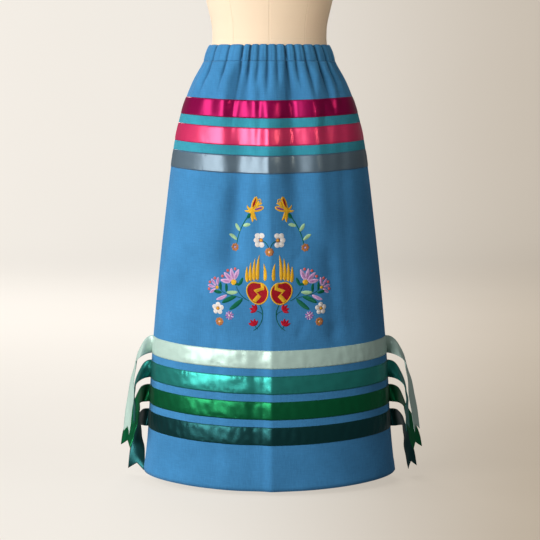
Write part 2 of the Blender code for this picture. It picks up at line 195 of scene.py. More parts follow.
def bezier(ends, t):
    """Points along the cubic curve of four control points."""
    t = np.asarray(t)[:, None]
    p = [np.array(end, float) for end in ends]
    return p[0] * (1 - t) ** 3 + 3 * p[1] * t * (1 - t) ** 2 + 3 * p[2] * t**2 * (1 - t) + p[3] * t**3


def unit(v):
    """Directions: vectors made one long."""
    return v / np.linalg.norm(v, axis=-1, keepdims=True)


def ripple(a, b, seed, waves=7):
    """Even, seeded unevenness from -1 to 1: the mean of sine waves in random directions, about one
    period for each unit of a and b."""
    rng = np.random.default_rng(seed)
    total = 0.0
    for _ in range(waves):
        heading, pitch, phase = rng.uniform(0, math.tau), rng.uniform(0.6, 1.6), rng.uniform(0, math.tau)
        total = total + np.sin(math.tau * pitch * (a * math.cos(heading) + b * math.sin(heading)) + phase)
    return total / math.sqrt(waves) / 1.4


LINE_STEP = math.radians(1.0)   # between the lines walked down the cloth
LINES_TO_MIDDLE = 90
DOWN_STEP = 0.0025              # between the heights looked up along each line
PAST_HEM = 0.006
CLEAR_OF_FORM = 0.0040


class Half:
    """Front or back of the skirt as a smooth surface. At angle t and height z a point is
    (half_width sin t, -depth cos t), turned half round for the back, and the height at a distance down
    the cloth comes from walking down the surface at that angle."""

    def __init__(self, back):
        self.back = back
        self.side = 1.0 if back else -1.0
        self.depth_column = "back_depth" if back else "front_depth"
        gathers = dict(zip(GATHER_COLUMNS, (BACK_GATHERS if back else FRONT_GATHERS).T))
        self.bottoms = np.radians(gathers["degrees"])
        self.depths, self.lengths = gathers["depth"], gathers["length"]
        self.folds = BACK_FOLDS if back else FRONT_FOLDS
        self.angles = np.radians(np.linspace(-90.0, 90.0, 2 * LINES_TO_MIDDLE + 1))
        self.downs = np.arange(0.0, SKIRT_LENGTH + PAST_HEM, DOWN_STEP)
        ladder = np.arange(BAND_SEAM_Z, SECTIONS[-1, 0] + 0.0005, -0.0015)
        a, b = self.sizes(ladder)
        x, y = a[:, None] * np.sin(self.angles), b[:, None] * np.cos(self.angles)
        steps = np.sqrt(np.diff(x, axis=0) ** 2 + np.diff(y, axis=0) ** 2 + np.diff(ladder)[:, None] ** 2)
        walked = np.vstack([np.zeros(len(self.angles)), np.cumsum(steps, axis=0)])
        columns = [np.interp(self.downs, walked[:, k], ladder) for k in range(len(self.angles))]
        self.heights = np.stack(columns, axis=1)
        a, b = self.sizes(self.heights)
        stride = np.hypot(a * np.cos(self.angles), b * np.sin(self.angles)) * LINE_STEP
        arcs = np.cumsum((stride[:, 1:] + stride[:, :-1]) / 2, axis=1)
        self.arcs = np.hstack([np.zeros((len(arcs), 1)), arcs])
        self.arcs -= self.arcs[:, [LINES_TO_MIDDLE]]

    def sizes(self, z):
        """(half width, depth) of the oval at heights z."""
        a = size_at(z, SECTIONS, SECTION_COLUMNS, "half_width")
        return a, size_at(z, SECTIONS, SECTION_COLUMNS, self.depth_column)

    def look_up(self, table, angle, down):
        """A table's value between its rows and columns, by the shares of the four nearest."""
        c = np.clip((angle - self.angles[0]) / LINE_STEP, 0, len(self.angles) - 1.001)
        r = np.clip(down / DOWN_STEP, 0, len(self.downs) - 1.001)
        i, j = r.astype(int), c.astype(int)
        u, v = r - i, c - j
        top = table[i, j] * (1 - v) + table[i, j + 1] * v
        return top * (1 - u) + (table[i + 1, j] * (1 - v) + table[i + 1, j + 1] * v) * u

    def arc(self, angle, down):
        """Distance along the cloth from the half's middle."""
        return self.look_up(self.arcs, *np.broadcast_arrays(angle, down))

    def angle_at(self, arc, down):
        """The angle at a distance along the cloth from the middle: five Newton steps from what it would
        be on a round skirt."""
        angle = arc / SECTIONS[:, 1].mean()
        for _ in range(5):
            a, b = self.sizes(self.look_up(self.heights, angle, down))
            stride = np.hypot(a * np.cos(angle), b * np.sin(angle))
            angle = angle - (self.look_up(self.arcs, angle, down) - arc) / stride
        return angle

    def gather(self, angle, down):
        """(depth, share of the crimp) of the waist's gathers: between two folds' bottoms the cloth puffs
        out as a sine, raised to a power that makes the bottoms sharp at the waist and soft further down."""
        past_seam = math.pi / 2 + 0.12
        edges = np.concatenate([[-past_seam], self.bottoms, [past_seam]])
        k = np.clip(np.searchsorted(edges, angle) - 1, 0, len(edges) - 2)
        t = (angle - edges[k]) / (edges[k + 1] - edges[k])
        near = np.clip(np.where(t < 0.5, k, k + 1) - 1, 0, len(self.bottoms) - 1)
        deep, length = self.depths[near], self.lengths[near]
        power = 0.75 + 1.0 * smooth(down / 0.09)
        valley = (1 - np.abs(np.sin(np.clip(t, 0, 1) * math.pi)) ** power) * smooth(1.0 - down / length)
        crimp = np.exp(-(((angle - self.bottoms[near]) / CRIMP_WIDTH) ** 2))
        crimp = crimp * smooth(1.0 - down / (0.8 * length))
        at_seam = smooth((math.pi / 2 - np.abs(angle)) / 0.10)
        return deep * (1.7 * valley + 0.6 * crimp) * at_seam, crimp * at_seam * np.minimum(deep / 0.006, 1.0)

    def room(self, angle, z):
        """How far in the cloth may go before it would touch the form: the gaps between the two ovals'
        half widths and depths, shared out by sin^2 and cos^2 of the angle."""
        half_width, depth = self.sizes(z)
        wide = half_width - size_at(z, FORM_SECTIONS, FORM_COLUMNS, "half_width")
        deep = depth - size_at(z, FORM_SECTIONS, FORM_COLUMNS, self.depth_column)
        gap = wide * np.sin(angle) ** 2 + deep * np.cos(angle) ** 2
        below_form = z <= FORM_SECTIONS[0, 0]
        return np.where(below_form, 0.05, np.maximum(gap - CLEAR_OF_FORM, CLEAR_OF_FORM / 2))

    def crease(self, x, down):
        """The pressed middle line: its place drifts down the cloth, and its rise is widest at the hips."""
        x = x + 0.0010 - 0.0075 * smooth((down - 0.08) / 0.5)
        width = 0.030 - 0.008 * smooth((down - 0.30) / 0.25)
        left = smooth(x / width + 1) * (x < 0)
        right = np.exp(-np.maximum(x, 0) / CREASE_FALL) * (x >= 0)
        strength = smooth((down - 0.05) / 0.12) * (1.35 - 0.45 * smooth((down - 0.35) / 0.25))
        return CREASE_RISE * strength * (left + right - 0.35)

    def fold(self, row, x, down):
        """One fold's height: a bell across its run, exp(-off^2 / 2), which widens along the run and fades
        at both ends of it."""
        row = dict(zip(FOLD_COLUMNS, row))
        run = np.array([row["end_x"] - row["x"], row["end_down"] - row["down"]])
        length = np.hypot(*run)
        run = run / length
        aside, ahead = x - row["x"], down - row["down"]
        t = (aside * run[0] + ahead * run[1]) / length
        off = (aside * run[1] - ahead * run[0]) / row["half_width"]
        shape = smooth((t + 0.15) / 0.35) * smooth((1.20 - t) / 0.45)
        return row["height"] * shape * np.exp(-0.5 * (off * (1.1 - 0.3 * t)) ** 2)

    def relief(self, angle, down):
        """How far the cloth stands out from the smooth surface: the gathers' fullness less their folds,
        which the casing holds in at the waist, then the soft folds, a slow unevenness and, in front, the
        pressed middle and the ripples that the embroidery draws. Inwards it levels off, as
        -room tanh(depth / room), before it reaches the form."""
        angle, down = np.broadcast_arrays(angle, down)
        z = self.look_up(self.heights, angle, down)
        x = self.sizes(z)[0] * np.sin(angle)
        full = smooth((math.pi / 2 - np.abs(angle)) / 0.5) * smooth((GATHER_RUN - down) / GATHER_RUN)
        held_in = 0.58 * (1 - smooth(down / 0.03))
        out = GATHER_FULL * full - self.gather(angle, down)[0] * (1 - held_in)
        for row in self.folds:
            out = out + self.fold(row, x, down)
        out = out + 0.0007 * ripple(x / 0.11, down / 0.42, 5) * smooth(down / 0.2)
        if not self.back:
            out = out + self.crease(x, down)
            drawn_in = np.exp(-((x / 0.12) ** 4) - ((down - 0.43) / 0.15) ** 4)
            out = out + 0.0003 * drawn_in * ripple(x / 0.020, down / 0.020, 9)
        room = self.room(angle, z)
        out = np.where(out < 0, room * np.tanh(out / room), out)
        at_seam = smooth((math.pi / 2 - np.abs(angle)) / 0.12)
        hem = 0.0006 * smooth((down - SKIRT_LENGTH + HEM_DEPTH) / 0.001)
        return out * at_seam + hem

    def oval(self, angle, z):
        """(points, outward directions) of the smooth surface at heights z."""
        a, b = self.sizes(z)
        s, c = np.sin(angle), np.cos(angle)
        points = np.stack([-self.side * a * s, self.side * b * c, z], axis=-1)
        return points, unit(np.stack([-self.side * s / a, self.side * c / b, np.zeros_like(s)], axis=-1))

    def base(self, angle, down):
        """(points, outward directions) of the smooth surface at distances down the cloth."""
        angle, down = np.broadcast_arrays(angle, down)
        return self.oval(angle, self.look_up(self.heights, angle, down))

    def cloth(self, angle, down, lift=0.0):
        """Points of the cloth's outer face, moved out by lift."""
        points, out = self.base(angle, down)
        return points + out * (self.relief(angle, down) + lift)[..., None]


FRONT, BACK = Half(False), Half(True)
HALVES = (("front", FRONT), ("back", BACK))

# ---------------------------------------------------------------- meshes


def grid_faces(rows, columns):
    """Vertex numbers of the quads of a grid, row by row."""
    r, c = np.meshgrid(np.arange(rows - 1), np.arange(columns - 1), indexing="ij")
    first = r * columns + c
    return np.stack([first, first + columns, first + columns + 1, first + 1], axis=-1).reshape(-1, 4)


def new_piece(name, points, faces, uv, paint, node=None, painted_shade=None):
    """A mesh object of quads with a UV map, smooth, riding on the one body. The last argument, from 0 to 1
    at each point, is how much painted shade the point gets, by how deep it lies in a gather."""
    mesh = bpy.data.meshes.new(name)
    points, faces = np.ascontiguousarray(points, np.float32), np.ascontiguousarray(faces, np.int32)
    mesh.vertices.add(len(points))
    mesh.vertices.foreach_set("co", points.ravel())
    mesh.loops.add(faces.size)
    mesh.loops.foreach_set("vertex_index", faces.ravel())
    mesh.polygons.add(len(faces))
    mesh.polygons.foreach_set("loop_start", np.arange(len(faces), dtype=np.int32) * 4)
    mesh.update(calc_edges=True)
    layer = mesh.uv_layers.new(name="cloth")
    layer.uv.foreach_set("vector", np.ascontiguousarray(uv, np.float32)[faces.ravel()].ravel())
    if painted_shade is not None:
        painted_shade_layer = mesh.attributes.new("painted_shade", "FLOAT", "POINT")
        painted_shade_layer.data.foreach_set("value", np.float32(painted_shade).ravel())
    mesh.validate()
    mesh.shade_smooth()
    mesh.materials.append(paint)
    piece = bpy.data.objects.new(name, mesh)
    bpy.context.scene.collection.objects.link(piece)
    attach(piece, "root")
    if node:
        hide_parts(node)
    return piece


def grid_piece(name, points, uv, paint, node=None, thickness=0.0, closed=False, painted_shade=None):
    """A grid of points as one piece, given a wall inwards when it has a thickness. uv is a pair of
    arrays in metres. A closed grid's last row or column lies on its first, and is welded to it."""
    uv = np.stack(np.broadcast_arrays(*uv), axis=-1)
    faces = grid_faces(*points.shape[:2])
    piece = new_piece(name, points.reshape(-1, 3), faces, uv.reshape(-1, 2), paint, node, painted_shade)
    if closed:
        weld = piece.modifiers.new("weld", "WELD")
        weld.merge_threshold = 0.00002
    if thickness:
        wall = piece.modifiers.new("wall", "SOLIDIFY")
        wall.thickness = thickness
        wall.offset = -1.0
    return piece


# ---------------------------------------------------------------- shaders


class Wire:
    """A shader socket: arithmetic on it adds Math nodes."""

    def __init__(self, paint, socket):
        self.paint, self.socket = paint, socket

    def maths(self, operation, *others):
        """A Math node's result on this socket and the others."""
        return self.paint.node("Math", {"operation": operation}, dict(enumerate((self, *others))))

    def __add__(self, other):
        return self.maths("ADD", other)

    def __sub__(self, other):
        return self.maths("SUBTRACT", other)

    def __mul__(self, other):
        return self.maths("MULTIPLY", other)

    def __truediv__(self, other):
        return self.maths("DIVIDE", other)

    def __rsub__(self, other):
        return self.paint.node("Math", {"operation": "SUBTRACT"}, {0: other, 1: self})

    __radd__, __rmul__ = __add__, __mul__


class Paint:
    """A Principled material that is put together node by node."""

    def __init__(self, name, constants=None):
        self.material = bpy.data.materials.new(name)
        self.material.use_nodes = True
        self.tree = self.material.node_tree
        self.shader = self.tree.nodes["Principled BSDF"]
        for socket, value in (constants or {}).items():
            self.shader.inputs[socket].default_value = value

    def node(self, kind, settings=None, inputs=None, out=0):
        """Adds a node of a kind, sets its settings, then gives its sockets values or wires."""
        made = self.tree.nodes.new("ShaderNode" + kind)
        for key, value in (settings or {}).items():
            setattr(made, key, value)
        for key, value in (inputs or {}).items():
            self.join(value, made.inputs[key])
        return Wire(self, made.outputs[out])

    def join(self, value, socket):
        """Gives a socket a wire or a plain value."""
        if isinstance(value, Wire):
            self.tree.links.new(value.socket, socket)
        else:
            socket.default_value = value

    def set(self, socket, value):
        """Gives one of the shader's own sockets a wire or a plain value."""
        self.join(value, self.shader.inputs[socket])

    def parts(self, place):
        """A place's first two coordinates."""
        first = self.node("SeparateXYZ", {}, {0: place})
        return first, Wire(self, first.socket.node.outputs[1])

    def uv(self):
        """The piece's own place, in metres along it and across it, and its two coordinates."""
        there = self.node("UVMap", {"uv_map": "cloth"})
        return there, *self.parts(there)

    def noise(self, place, scale, detail=2.0, stretch=(1, 1, 1)):
        """Uneven value near 0.5, with its pattern drawn out by stretch."""
        moved = self.node("Mapping", {}, {"Vector": place, "Scale": stretch})
        settings = {"Vector": moved, "Scale": scale, "Detail": detail}
        return self.node("TexNoise", {"noise_dimensions": "3D"}, settings)

    def mix(self, share, one, other):
        """A colour between two, by a share."""
        return self.node("Mix", {"data_type": "RGBA"}, {0: share, 6: one, 7: other}, 2)

    def bump(self, height, distance):
        """Raises the surface by a height from 0 to 1, times a distance."""
        self.set("Normal", self.node("Bump", {}, {"Height": height, "Distance": distance, "Strength": 1.0}))


def shades(colour, low, high):
    """A colour made darker and lighter, as two RGBA values."""
    return tuple((*(min(1.0, c * k) for c in colour), 1.0) for k in (low, high))


THREAD_PITCH = 0.00046    # of the cotton's weave
# Painted shade: the share of a dark shadow colour painted into the cotton at the bottom of a gather.
PAINTED_SHADE_SHARE = 0.85     # share of the shadow colour at the bottom of a gather
SELVAGE_INSET = 0.0016
STITCH_RIDGE = 0.00085    # from thread to thread of the embroidery


def cotton(name, colour, slub=1.0):
    """Matte plain weave: warp and weft sines crossing, slubs drawn out along the warp, a soft unevenness
    of the dye, and painted shade where the cloth is gathered in."""
    paint = Paint(name, {"Sheen Weight": 0.09, "Sheen Roughness": 0.45, "Specular IOR Level": 0.08})
    there, u, v = paint.uv()
    warp = (u * (math.pi / THREAD_PITCH)).maths("SINE")
    weft = (v * (math.pi / THREAD_PITCH)).maths("SINE")
    weave = warp * weft * 0.5 + 0.5
    slubs = paint.noise(there, 420.0, 3.0, (1.0, 0.12, 1.0))
    picks = paint.noise(there, 420.0, 3.0, (0.12, 1.0, 1.0))
    cloud = paint.noise(there, 14.0, 3.0)
    dark, light = shades(colour, 0.80, 1.18)
    tone = cloud * 0.40 + slubs * 0.32 + picks * 0.28
    # This attribute carries painted shade: the deeper a place lies in a gather, the more its colour turns to
    # a dark shadow colour.
    painted_shade = paint.node("Attribute", {"attribute_name": "painted_shade"}, {}, "Fac")
    dyed = paint.mix((tone - 0.32) * 2.8, dark, light)
    shadow, _ = shades(colour, 0.20, 1.0)
    paint.set("Base Color", paint.mix(painted_shade * PAINTED_SHADE_SHARE, dyed, shadow))
    paint.set("Roughness", 0.95 - cloud * 0.15)
    paint.bump(weave * 0.35 + slubs * (0.8 * slub) + picks * (0.8 * slub), 0.00032)
    return paint.material


def satin(name, colour, metallic, gloss=0.14, rough=0.32):
    """Satin ribbon: fine floats along its length, a selvage line inside each edge and faint press marks.
    The second coordinate runs across the ribbon from its middle."""
    paint = Paint(name, {"Metallic": metallic, "Specular IOR Level": gloss, "Anisotropic": 0.35})
    there, _, v = paint.uv()
    floats = paint.noise(there, 900.0, 2.0, (0.05, 1.0, 1.0))
    sheen = paint.noise(there, 60.0, 3.0, (0.5, 1.0, 1.0))
    edge = v.maths("ABSOLUTE")
    selvage = (edge - (RIBBON_WIDTH / 2 - SELVAGE_INSET)).maths("ABSOLUTE")
    line = 1.0 - (selvage * (1 / 0.0006)).maths("MINIMUM", 1.0)
    dark, light = shades(colour, 0.84, 1.14)
    paint.set("Base Color", paint.mix(floats * 0.7 + sheen * 0.3 - line * 0.25, dark, light))
    paint.set("Roughness", sheen * 0.10 + floats * 0.06 + (rough - 0.08))
    paint.bump(floats * 0.22 - line * 0.55 + sheen * 0.5, 0.00022)
    return paint.material


def thread(name, colour, rough=0.38):
    """Shiny rayon satin stitch: threads lie across the motif, at a slant, each a rounded ridge. Its
    colour has painted shade in the grooves between threads and painted highlight on their crests.
    """
    paint = Paint(name, {"Metallic": 0.25, "Specular IOR Level": 0.15})
    there, u, v = paint.uv()
    turns = (u + v * 0.35) * (math.tau / STITCH_RIDGE)
    ridge = turns.maths("SINE") * 0.5 + 0.5
    uneven = paint.noise(there, 700.0, 2.0, (1.0, 0.15, 1.0))
    dark, light = shades(colour, 0.62, 1.22)
    # Painted shade and highlight: darker in each groove, lighter on each crest; the unevenness is the
    # thread's own.
    paint.set("Base Color", paint.mix(ridge * 0.55 + uneven * 0.5, dark, light))
    paint.set("Roughness", rough + uneven * 0.2)
    paint.bump(ridge + uneven * 0.6, 0.00022)
    return paint.material


def jersey(name, colour):
    """Cream jersey: a fine knit, the product of a sine along and a sine across, with a little grain."""
    paint = Paint(name, {"Sheen Weight": 0.15, "Specular IOR Level": 0.2})
    there, u, v = paint.uv()
    knit = (u * (math.tau / 0.0011)).maths("SINE") * (v * (math.tau / 0.0016)).maths("SINE")
    cloud = paint.noise(there, 9.0, 3.0)
    grain = paint.noise(there, 500.0, 2.0)
    dark, light = shades(colour, 0.93, 1.05)
    paint.set("Base Color", paint.mix(cloud * 0.6 + grain * 0.4, dark, light))
    paint.set("Roughness", 0.85 + cloud * 0.1)
    paint.bump(knit * 0.25 + grain * 0.7, 0.00025)
    return paint.material


def wood(name, colour):
    """Varnished turned wood: rings drawn out along the grain."""
    paint = Paint(name, {"Coat Weight": 0.3, "Coat Roughness": 0.2})
    place = paint.node("TexCoord", {}, {}, "Object")
    rings = paint.noise(place, 60.0, 4.0, (1.0, 1.0, 0.12))
    pores = paint.noise(place, 420.0, 2.0, (1.0, 1.0, 0.05))
    dark, light = shades(colour, 0.55, 1.5)
    paint.set("Base Color", paint.mix(rings * 0.8 + pores * 0.3, dark, light))
    paint.set("Roughness", 0.32 + pores * 0.2)
    paint.bump(pores, 0.0002)
    return paint.material


def steel(name, colour):
    """Powder coat: fine orange peel and a dusty unevenness."""
    paint = Paint(name, {"Metallic": 0.1})
    place = paint.node("TexCoord", {}, {}, "Object")
    peel = paint.noise(place, 900.0, 2.0)
    cloud = paint.noise(place, 12.0, 3.0)
    dark, light = shades(colour, 0.8, 1.6)
    paint.set("Base Color", paint.mix(cloud, dark, light))
    paint.set("Roughness", 0.42 + cloud * 0.15)
    paint.bump(peel, 0.0002)
    return paint.material


BLUE = cotton("blue_cotton", (0.038, 0.172, 0.355))
TEAL = cotton("teal_cotton", (0.028, 0.220, 0.300), 0.6)
SATINS = {
    "magenta": satin("magenta_satin", (0.240, 0.001, 0.060), 0.54, 0.16),
    "pink": satin("pink_satin", (0.590, 0.022, 0.112), 0.42, 0.70),
    "slate": satin("slate_satin", (0.092, 0.138, 0.178), 0.36, 0.45),
    "mint": satin("mint_satin", (0.395, 0.530, 0.475), 0.20),
    "aqua": satin("aqua_satin", (0.026, 0.250, 0.222), 0.68),
    "green": satin("green_satin", (0.006, 0.135, 0.048), 0.72),
    "pine": satin("pine_satin", (0.011, 0.066, 0.070), 0.82),
}
THREADS = {
    "yellow": thread("yellow_thread", (0.720, 0.400, 0.022)),
    "ruby": thread("ruby_thread", (0.310, 0.004, 0.012)),
    "red": thread("red_thread", (0.420, 0.005, 0.022)),
    "violet": thread("violet_thread", (0.180, 0.050, 0.240)),
    "lilac": thread("lilac_thread", (0.420, 0.170, 0.420)),
    "blush": thread("blush_thread", (0.600, 0.370, 0.600)),
    "coral": thread("coral_thread", (0.600, 0.120, 0.110)),
    "copper": thread("copper_thread", (0.400, 0.160, 0.060)),
    "white": thread("white_thread", (0.700, 0.660, 0.630)),
    "lime": thread("lime_thread", (0.350, 0.560, 0.310)),
    "leaf": thread("leaf_thread", (0.003, 0.120, 0.060)),
    "stem": thread("stem_thread", (0.004, 0.100, 0.080)),
}
SEWING = {
    "blue": thread("blue_sewing_thread", (0.040, 0.180, 0.430)),
    "mint": thread("pale_sewing_thread", (0.420, 0.640, 0.560)),
    "dark": thread("dark_sewing_thread", (0.004, 0.060, 0.050)),
    "rose": thread("rose_sewing_thread", (0.450, 0.010, 0.100)),
}
JERSEY = jersey("form_jersey", (0.660, 0.530, 0.395))
WOOD = wood("turned_wood", (0.230, 0.110, 0.045))
STEEL = steel("black_powder_coat", (0.020, 0.020, 0.022))

# ---------------------------------------------------------------- cotton panels and waistband

COTTON_WALL = 0.0011
SEAM_GAP = 0.0004
SKIRT_COLUMNS = 290
SKIRT_ROWS = 155


def skirt_panels():
    """Front and back: the cloth's surface at every angle, its rows closer together near the waist. A
    place gets painted shade in the crimp of a gather, and less of it in a deep trough near the waist."""
    t = np.linspace(0.0, 1.0, SKIRT_ROWS)[:, None]
    rows = SEAM_GAP + (SKIRT_LENGTH - SEAM_GAP) * (t + t * t) / 2
    angles = np.radians(np.linspace(-90.0, 90.0, SKIRT_COLUMNS))
    angle, down = np.broadcast_arrays(angles[None, :], rows)
    for name, half in HALVES:
        points = half.cloth(angle, down)
        _, crimp = half.gather(angle, down)
        # Painted shade: all of it in a gather's crimp, 0.4 of it in a deep trough near the waist.
        trough = smooth((-half.relief(angle, down) - 0.005) / 0.010) * smooth((0.24 - down) / 0.12)
        painted_shade = np.maximum(crimp, 0.4 * trough)
        panel = grid_piece(f"panel_{name}", points, (half.arc(angle, down), -down), BLUE,
                           f"skirt_{name}", COTTON_WALL, painted_shade=painted_shade)


BAND_WALL = 0.0036
BAND_COLUMNS = 900
BAND_GATHER = 0.40        # share of the cloth's gathers that the casing takes up
BAND_TUCK = 0.0012        # depth of its own small pinches
BAND_PUFF = 0.0026        # how far it bulges between its seam and its top


def band_profile():
    """(rise over the seam, depth inwards) up the outer side, over the rounded top and down the inner."""
    shoulder = BAND_TOP_Z - BAND_SEAM_Z - BAND_WALL / 2
    turn = np.linspace(0.0, math.pi, 9)
    outer = np.linspace(-0.0006, shoulder, 15)[:-1]
    inner = np.linspace(shoulder, 0.0, 10)[1:]
    rise = np.concatenate([outer, shoulder + np.sin(turn) * BAND_WALL / 2, inner])
    depth = np.concatenate([0 * outer, (1 - np.cos(turn)) * BAND_WALL / 2, 0 * inner + BAND_WALL])
    return rise, depth


def tucks(half, angle):
    """Small pinches, one at each gather and one between each pair: 1 - sqrt(sin) from each to the next."""
    between = (half.bottoms[1:] + half.bottoms[:-1]) / 2
    between = between + 0.02 * ripple(np.arange(len(between)) * 0.7, 0, 3)
    edges = np.concatenate([[-math.pi / 2], np.sort(np.concatenate([half.bottoms, between])), [math.pi / 2]])
    k = np.clip(np.searchsorted(edges, angle) - 1, 0, len(edges) - 2)
    t = (angle - edges[k]) / (edges[k + 1] - edges[k])
    return 1 - np.abs(np.sin(t * math.pi)) ** 0.5


def band_half(half, angles, rise, depth):
    """(points, painted shade) of half of the casing. It bulges as a sine of its height, and every
    gather and tuck pinches it in and draws its top down, with little of either on the inner side.
    Painted shade darkens its gathers' crimps and, less, its tucks, on the outer side only."""
    angle, z = np.broadcast_arrays(angles, BAND_SEAM_Z + rise)
    points, out = half.oval(angle, np.clip(z, BAND_SEAM_Z, BAND_TOP_Z))
    points[..., 2] = z
    up, outer = rise / (BAND_TOP_Z - BAND_SEAM_Z), 1 - depth / BAND_WALL
    deep, crimp = half.gather(angle, np.zeros_like(angle))
    tuck = tucks(half, angle)
    pinch = BAND_GATHER * deep + BAND_TUCK * tuck * (0.75 + 0.5 * ripple(angle * 4, 0.0, 21))
    puff = BAND_PUFF * np.sin(np.clip(up, 0, 1) * math.pi) ** 0.7
    forward = GATHER_FULL * 0.5 * smooth((math.pi / 2 - np.abs(angle)) / 0.5)
    relief = (forward + puff - pinch) * (0.06 + 0.94 * outer)
    points = points + out * (relief - depth - 0.0002)[..., None]
    points[..., 2] -= 0.45 * pinch * smooth((up - 0.75) / 0.25)
    return points, np.maximum(crimp, 0.5 * tuck**3) * outer


def closed_up(grid):
    """A grid with its first column again after its last, and its first row again after its last."""
    grid = np.concatenate([grid, grid[:, :1]], axis=1)
    return np.concatenate([grid, grid[:1]], axis=0)


def waistband():
    """A casing over elastic: a closed profile, rounded over the top, carried round the waist."""
    rise, depth = band_profile()
    angles = np.radians(np.linspace(-90.0, 90.0, BAND_COLUMNS // 2 + 1))[:-1]
    # Each half brings its points and the painted shade of its pinches.
    rings, painted_shades, arcs, start = [], [], [], 0.0
    for _, half in HALVES:
        points, painted_shade = band_half(half, angles[None, :], rise[:, None], depth[:, None])
        rings.append(points)
        painted_shades.append(painted_shade)
        arc = half.arc(angles, np.zeros_like(angles))
        arcs.append(arc - arc[0] + start)
        start = 2 * arcs[-1][-1] - arcs[-1][-2]
    arc = np.append(np.concatenate(arcs), start)
    along = np.concatenate([[0.0], np.cumsum(np.hypot(np.diff(rise), np.diff(depth)))])
    along = np.append(along, along[-1] + BAND_WALL)
    points, painted_shade = closed_up(np.concatenate(rings, axis=1)), closed_up(np.concatenate(painted_shades, axis=1))
    uv = (arc[None, :], along[::-1, None])
    band = grid_piece("waistband_casing", points[::-1], uv, BLUE, "waistband", closed=True,
                      painted_shade=painted_shade[::-1])


# ---------------------------------------------------------------- ribbons

RIBBON_WALL = 0.0005
RIBBON_LIFT = 0.00062     # of a ribbon's sewn edges off the cotton, on its outer face
UPPER_PUCKER = 0.0003     # depth of the stitches' dimples
LOWER_PUCKER = 0.0009
TEAL_PUCKER = 0.0001
TEAL_BULGE = 0.0001
TEAL_GAP = 0.0002         # between a teal strip and the ribbons beside it
RIBBON_ROWS = 13
RIBBON_COLUMNS = 341
UPPER_RIBBONS = ("magenta", "pink", "slate")
LOWER_RIBBONS = ("mint", "aqua", "green", "pine")
UPPER = {name: UPPER_START + k * (RIBBON_WIDTH + UPPER_GAP) for k, name in enumerate(UPPER_RIBBONS)}
LOWER = {name: LOWER_START + k * (RIBBON_WIDTH + LOWER_GAP) for k, name in enumerate(LOWER_RIBBONS)}


def sewn_ribbon(name, half, start, width, paint, node, pucker, seed, bulge=0.0007):
    """A ribbon across one half: the cloth's surface between two distances down it, lifted more in the
    ribbon's middle than at its sewn edges, with small dimples where the stitches draw those in."""
    v = np.linspace(-1.0, 1.0, RIBBON_ROWS)
    v = (np.sign(v) * np.abs(v) ** 0.8)[:, None]
    down = start + width * (v + 1) / 2
    angle = np.radians(np.linspace(-90.0, 90.0, RIBBON_COLUMNS))[None, :]
    arc = half.arc(angle, down)
    near_edge = np.exp(-(((np.abs(v) - 0.86) / 0.25) ** 2))
    dimple = np.maximum(ripple(arc / 0.014, v * 0.6, seed), 0) * near_edge
    slack = ripple(arc / 0.030, v * 0.5, seed + 1) * (1 - v * v)
    lift = RIBBON_LIFT + bulge * (1 - v**4) - pucker * dimple + pucker * 0.55 * slack
    points = half.cloth(angle, down, np.maximum(lift, RIBBON_WALL + 0.00008))
    piece = grid_piece(name, points, (arc, v * width / 2), paint, node, RIBBON_WALL)
    middle = arc[RIBBON_ROWS // 2]
    float(middle[-1] - middle[0])


def ribbons():
    """Three upper ribbons with teal strips between them, and four lower ones, on both halves."""
    for side, half in HALVES:
        for k, (colour, top) in enumerate(UPPER.items()):
            sewn_ribbon(f"satin_{colour}_{side}", half, top, RIBBON_WIDTH, SATINS[colour],
                        f"ribbon_{colour}_{side}", UPPER_PUCKER, 30 + k)
        for k, top in enumerate(list(UPPER.values())[:2]):
            sewn_ribbon(f"teal_{k + 1}_{side}", half, top + RIBBON_WIDTH + TEAL_GAP, UPPER_GAP - 2 * TEAL_GAP,
                        TEAL, f"strip_teal_{k + 1}_{side}", TEAL_PUCKER, 40 + k, TEAL_BULGE)
        for k, (colour, top) in enumerate(LOWER.items()):
            sewn_ribbon(f"satin_{colour}_{side}", half, top, RIBBON_WIDTH, SATINS[colour],
                        f"ribbon_{colour}_{side}", LOWER_PUCKER, 50 + 3 * k)


TAIL_ROWS = 13
ARCH = np.linspace(0.0, 1.0, 31)
HANG = np.linspace(0.0, 1.0, 49)
ARCH_SHARE = 0.35         # of a tail's length, until it hangs
TAIL_CUP = 0.0022
TAIL_CURL = 0.0012
NOTCH_RUN = 0.035         # length of the end in which the rows lean into the notch


def tail_edges(row, low):
    """Upper and lower edge of a tail, as distances out from the seam and down from the ribbon's top. Each
    is a cubic arch out to its bend and a cubic run down to its tip. The lower one starts at low."""
    reach, drop, gap, out, down, shown = (row[name] for name in TAIL_COLUMNS[1:7])
    further, fall = out - reach, down - drop
    bend, under = (reach, drop), (reach - 0.65 * gap, drop + 0.75 * gap)
    upper = (
        ((0, 0), (0.55 * reach, 0.02 * drop), (0.80 * reach, 0.42 * drop), bend),
        (bend, (reach + 0.25 * further + 0.004, drop + 0.25 * fall),
         (out - 0.12 * further, drop + 0.55 * fall), (out, down)),
    )
    lower = (
        (low, (0.42 * reach, low[1]), (0.74 * reach, low[1] + 0.05 * drop), under),
        (under, (reach - gap + 0.10 * further, drop + gap + 0.25 * fall),
         (out - shown - 0.35 * further, drop + 0.60 * fall), (out - shown, down + 0.002)),
    )
    return (np.concatenate([bezier(arch, ARCH), bezier(hang, HANG)[1:]]) for arch, hang in (upper, lower))


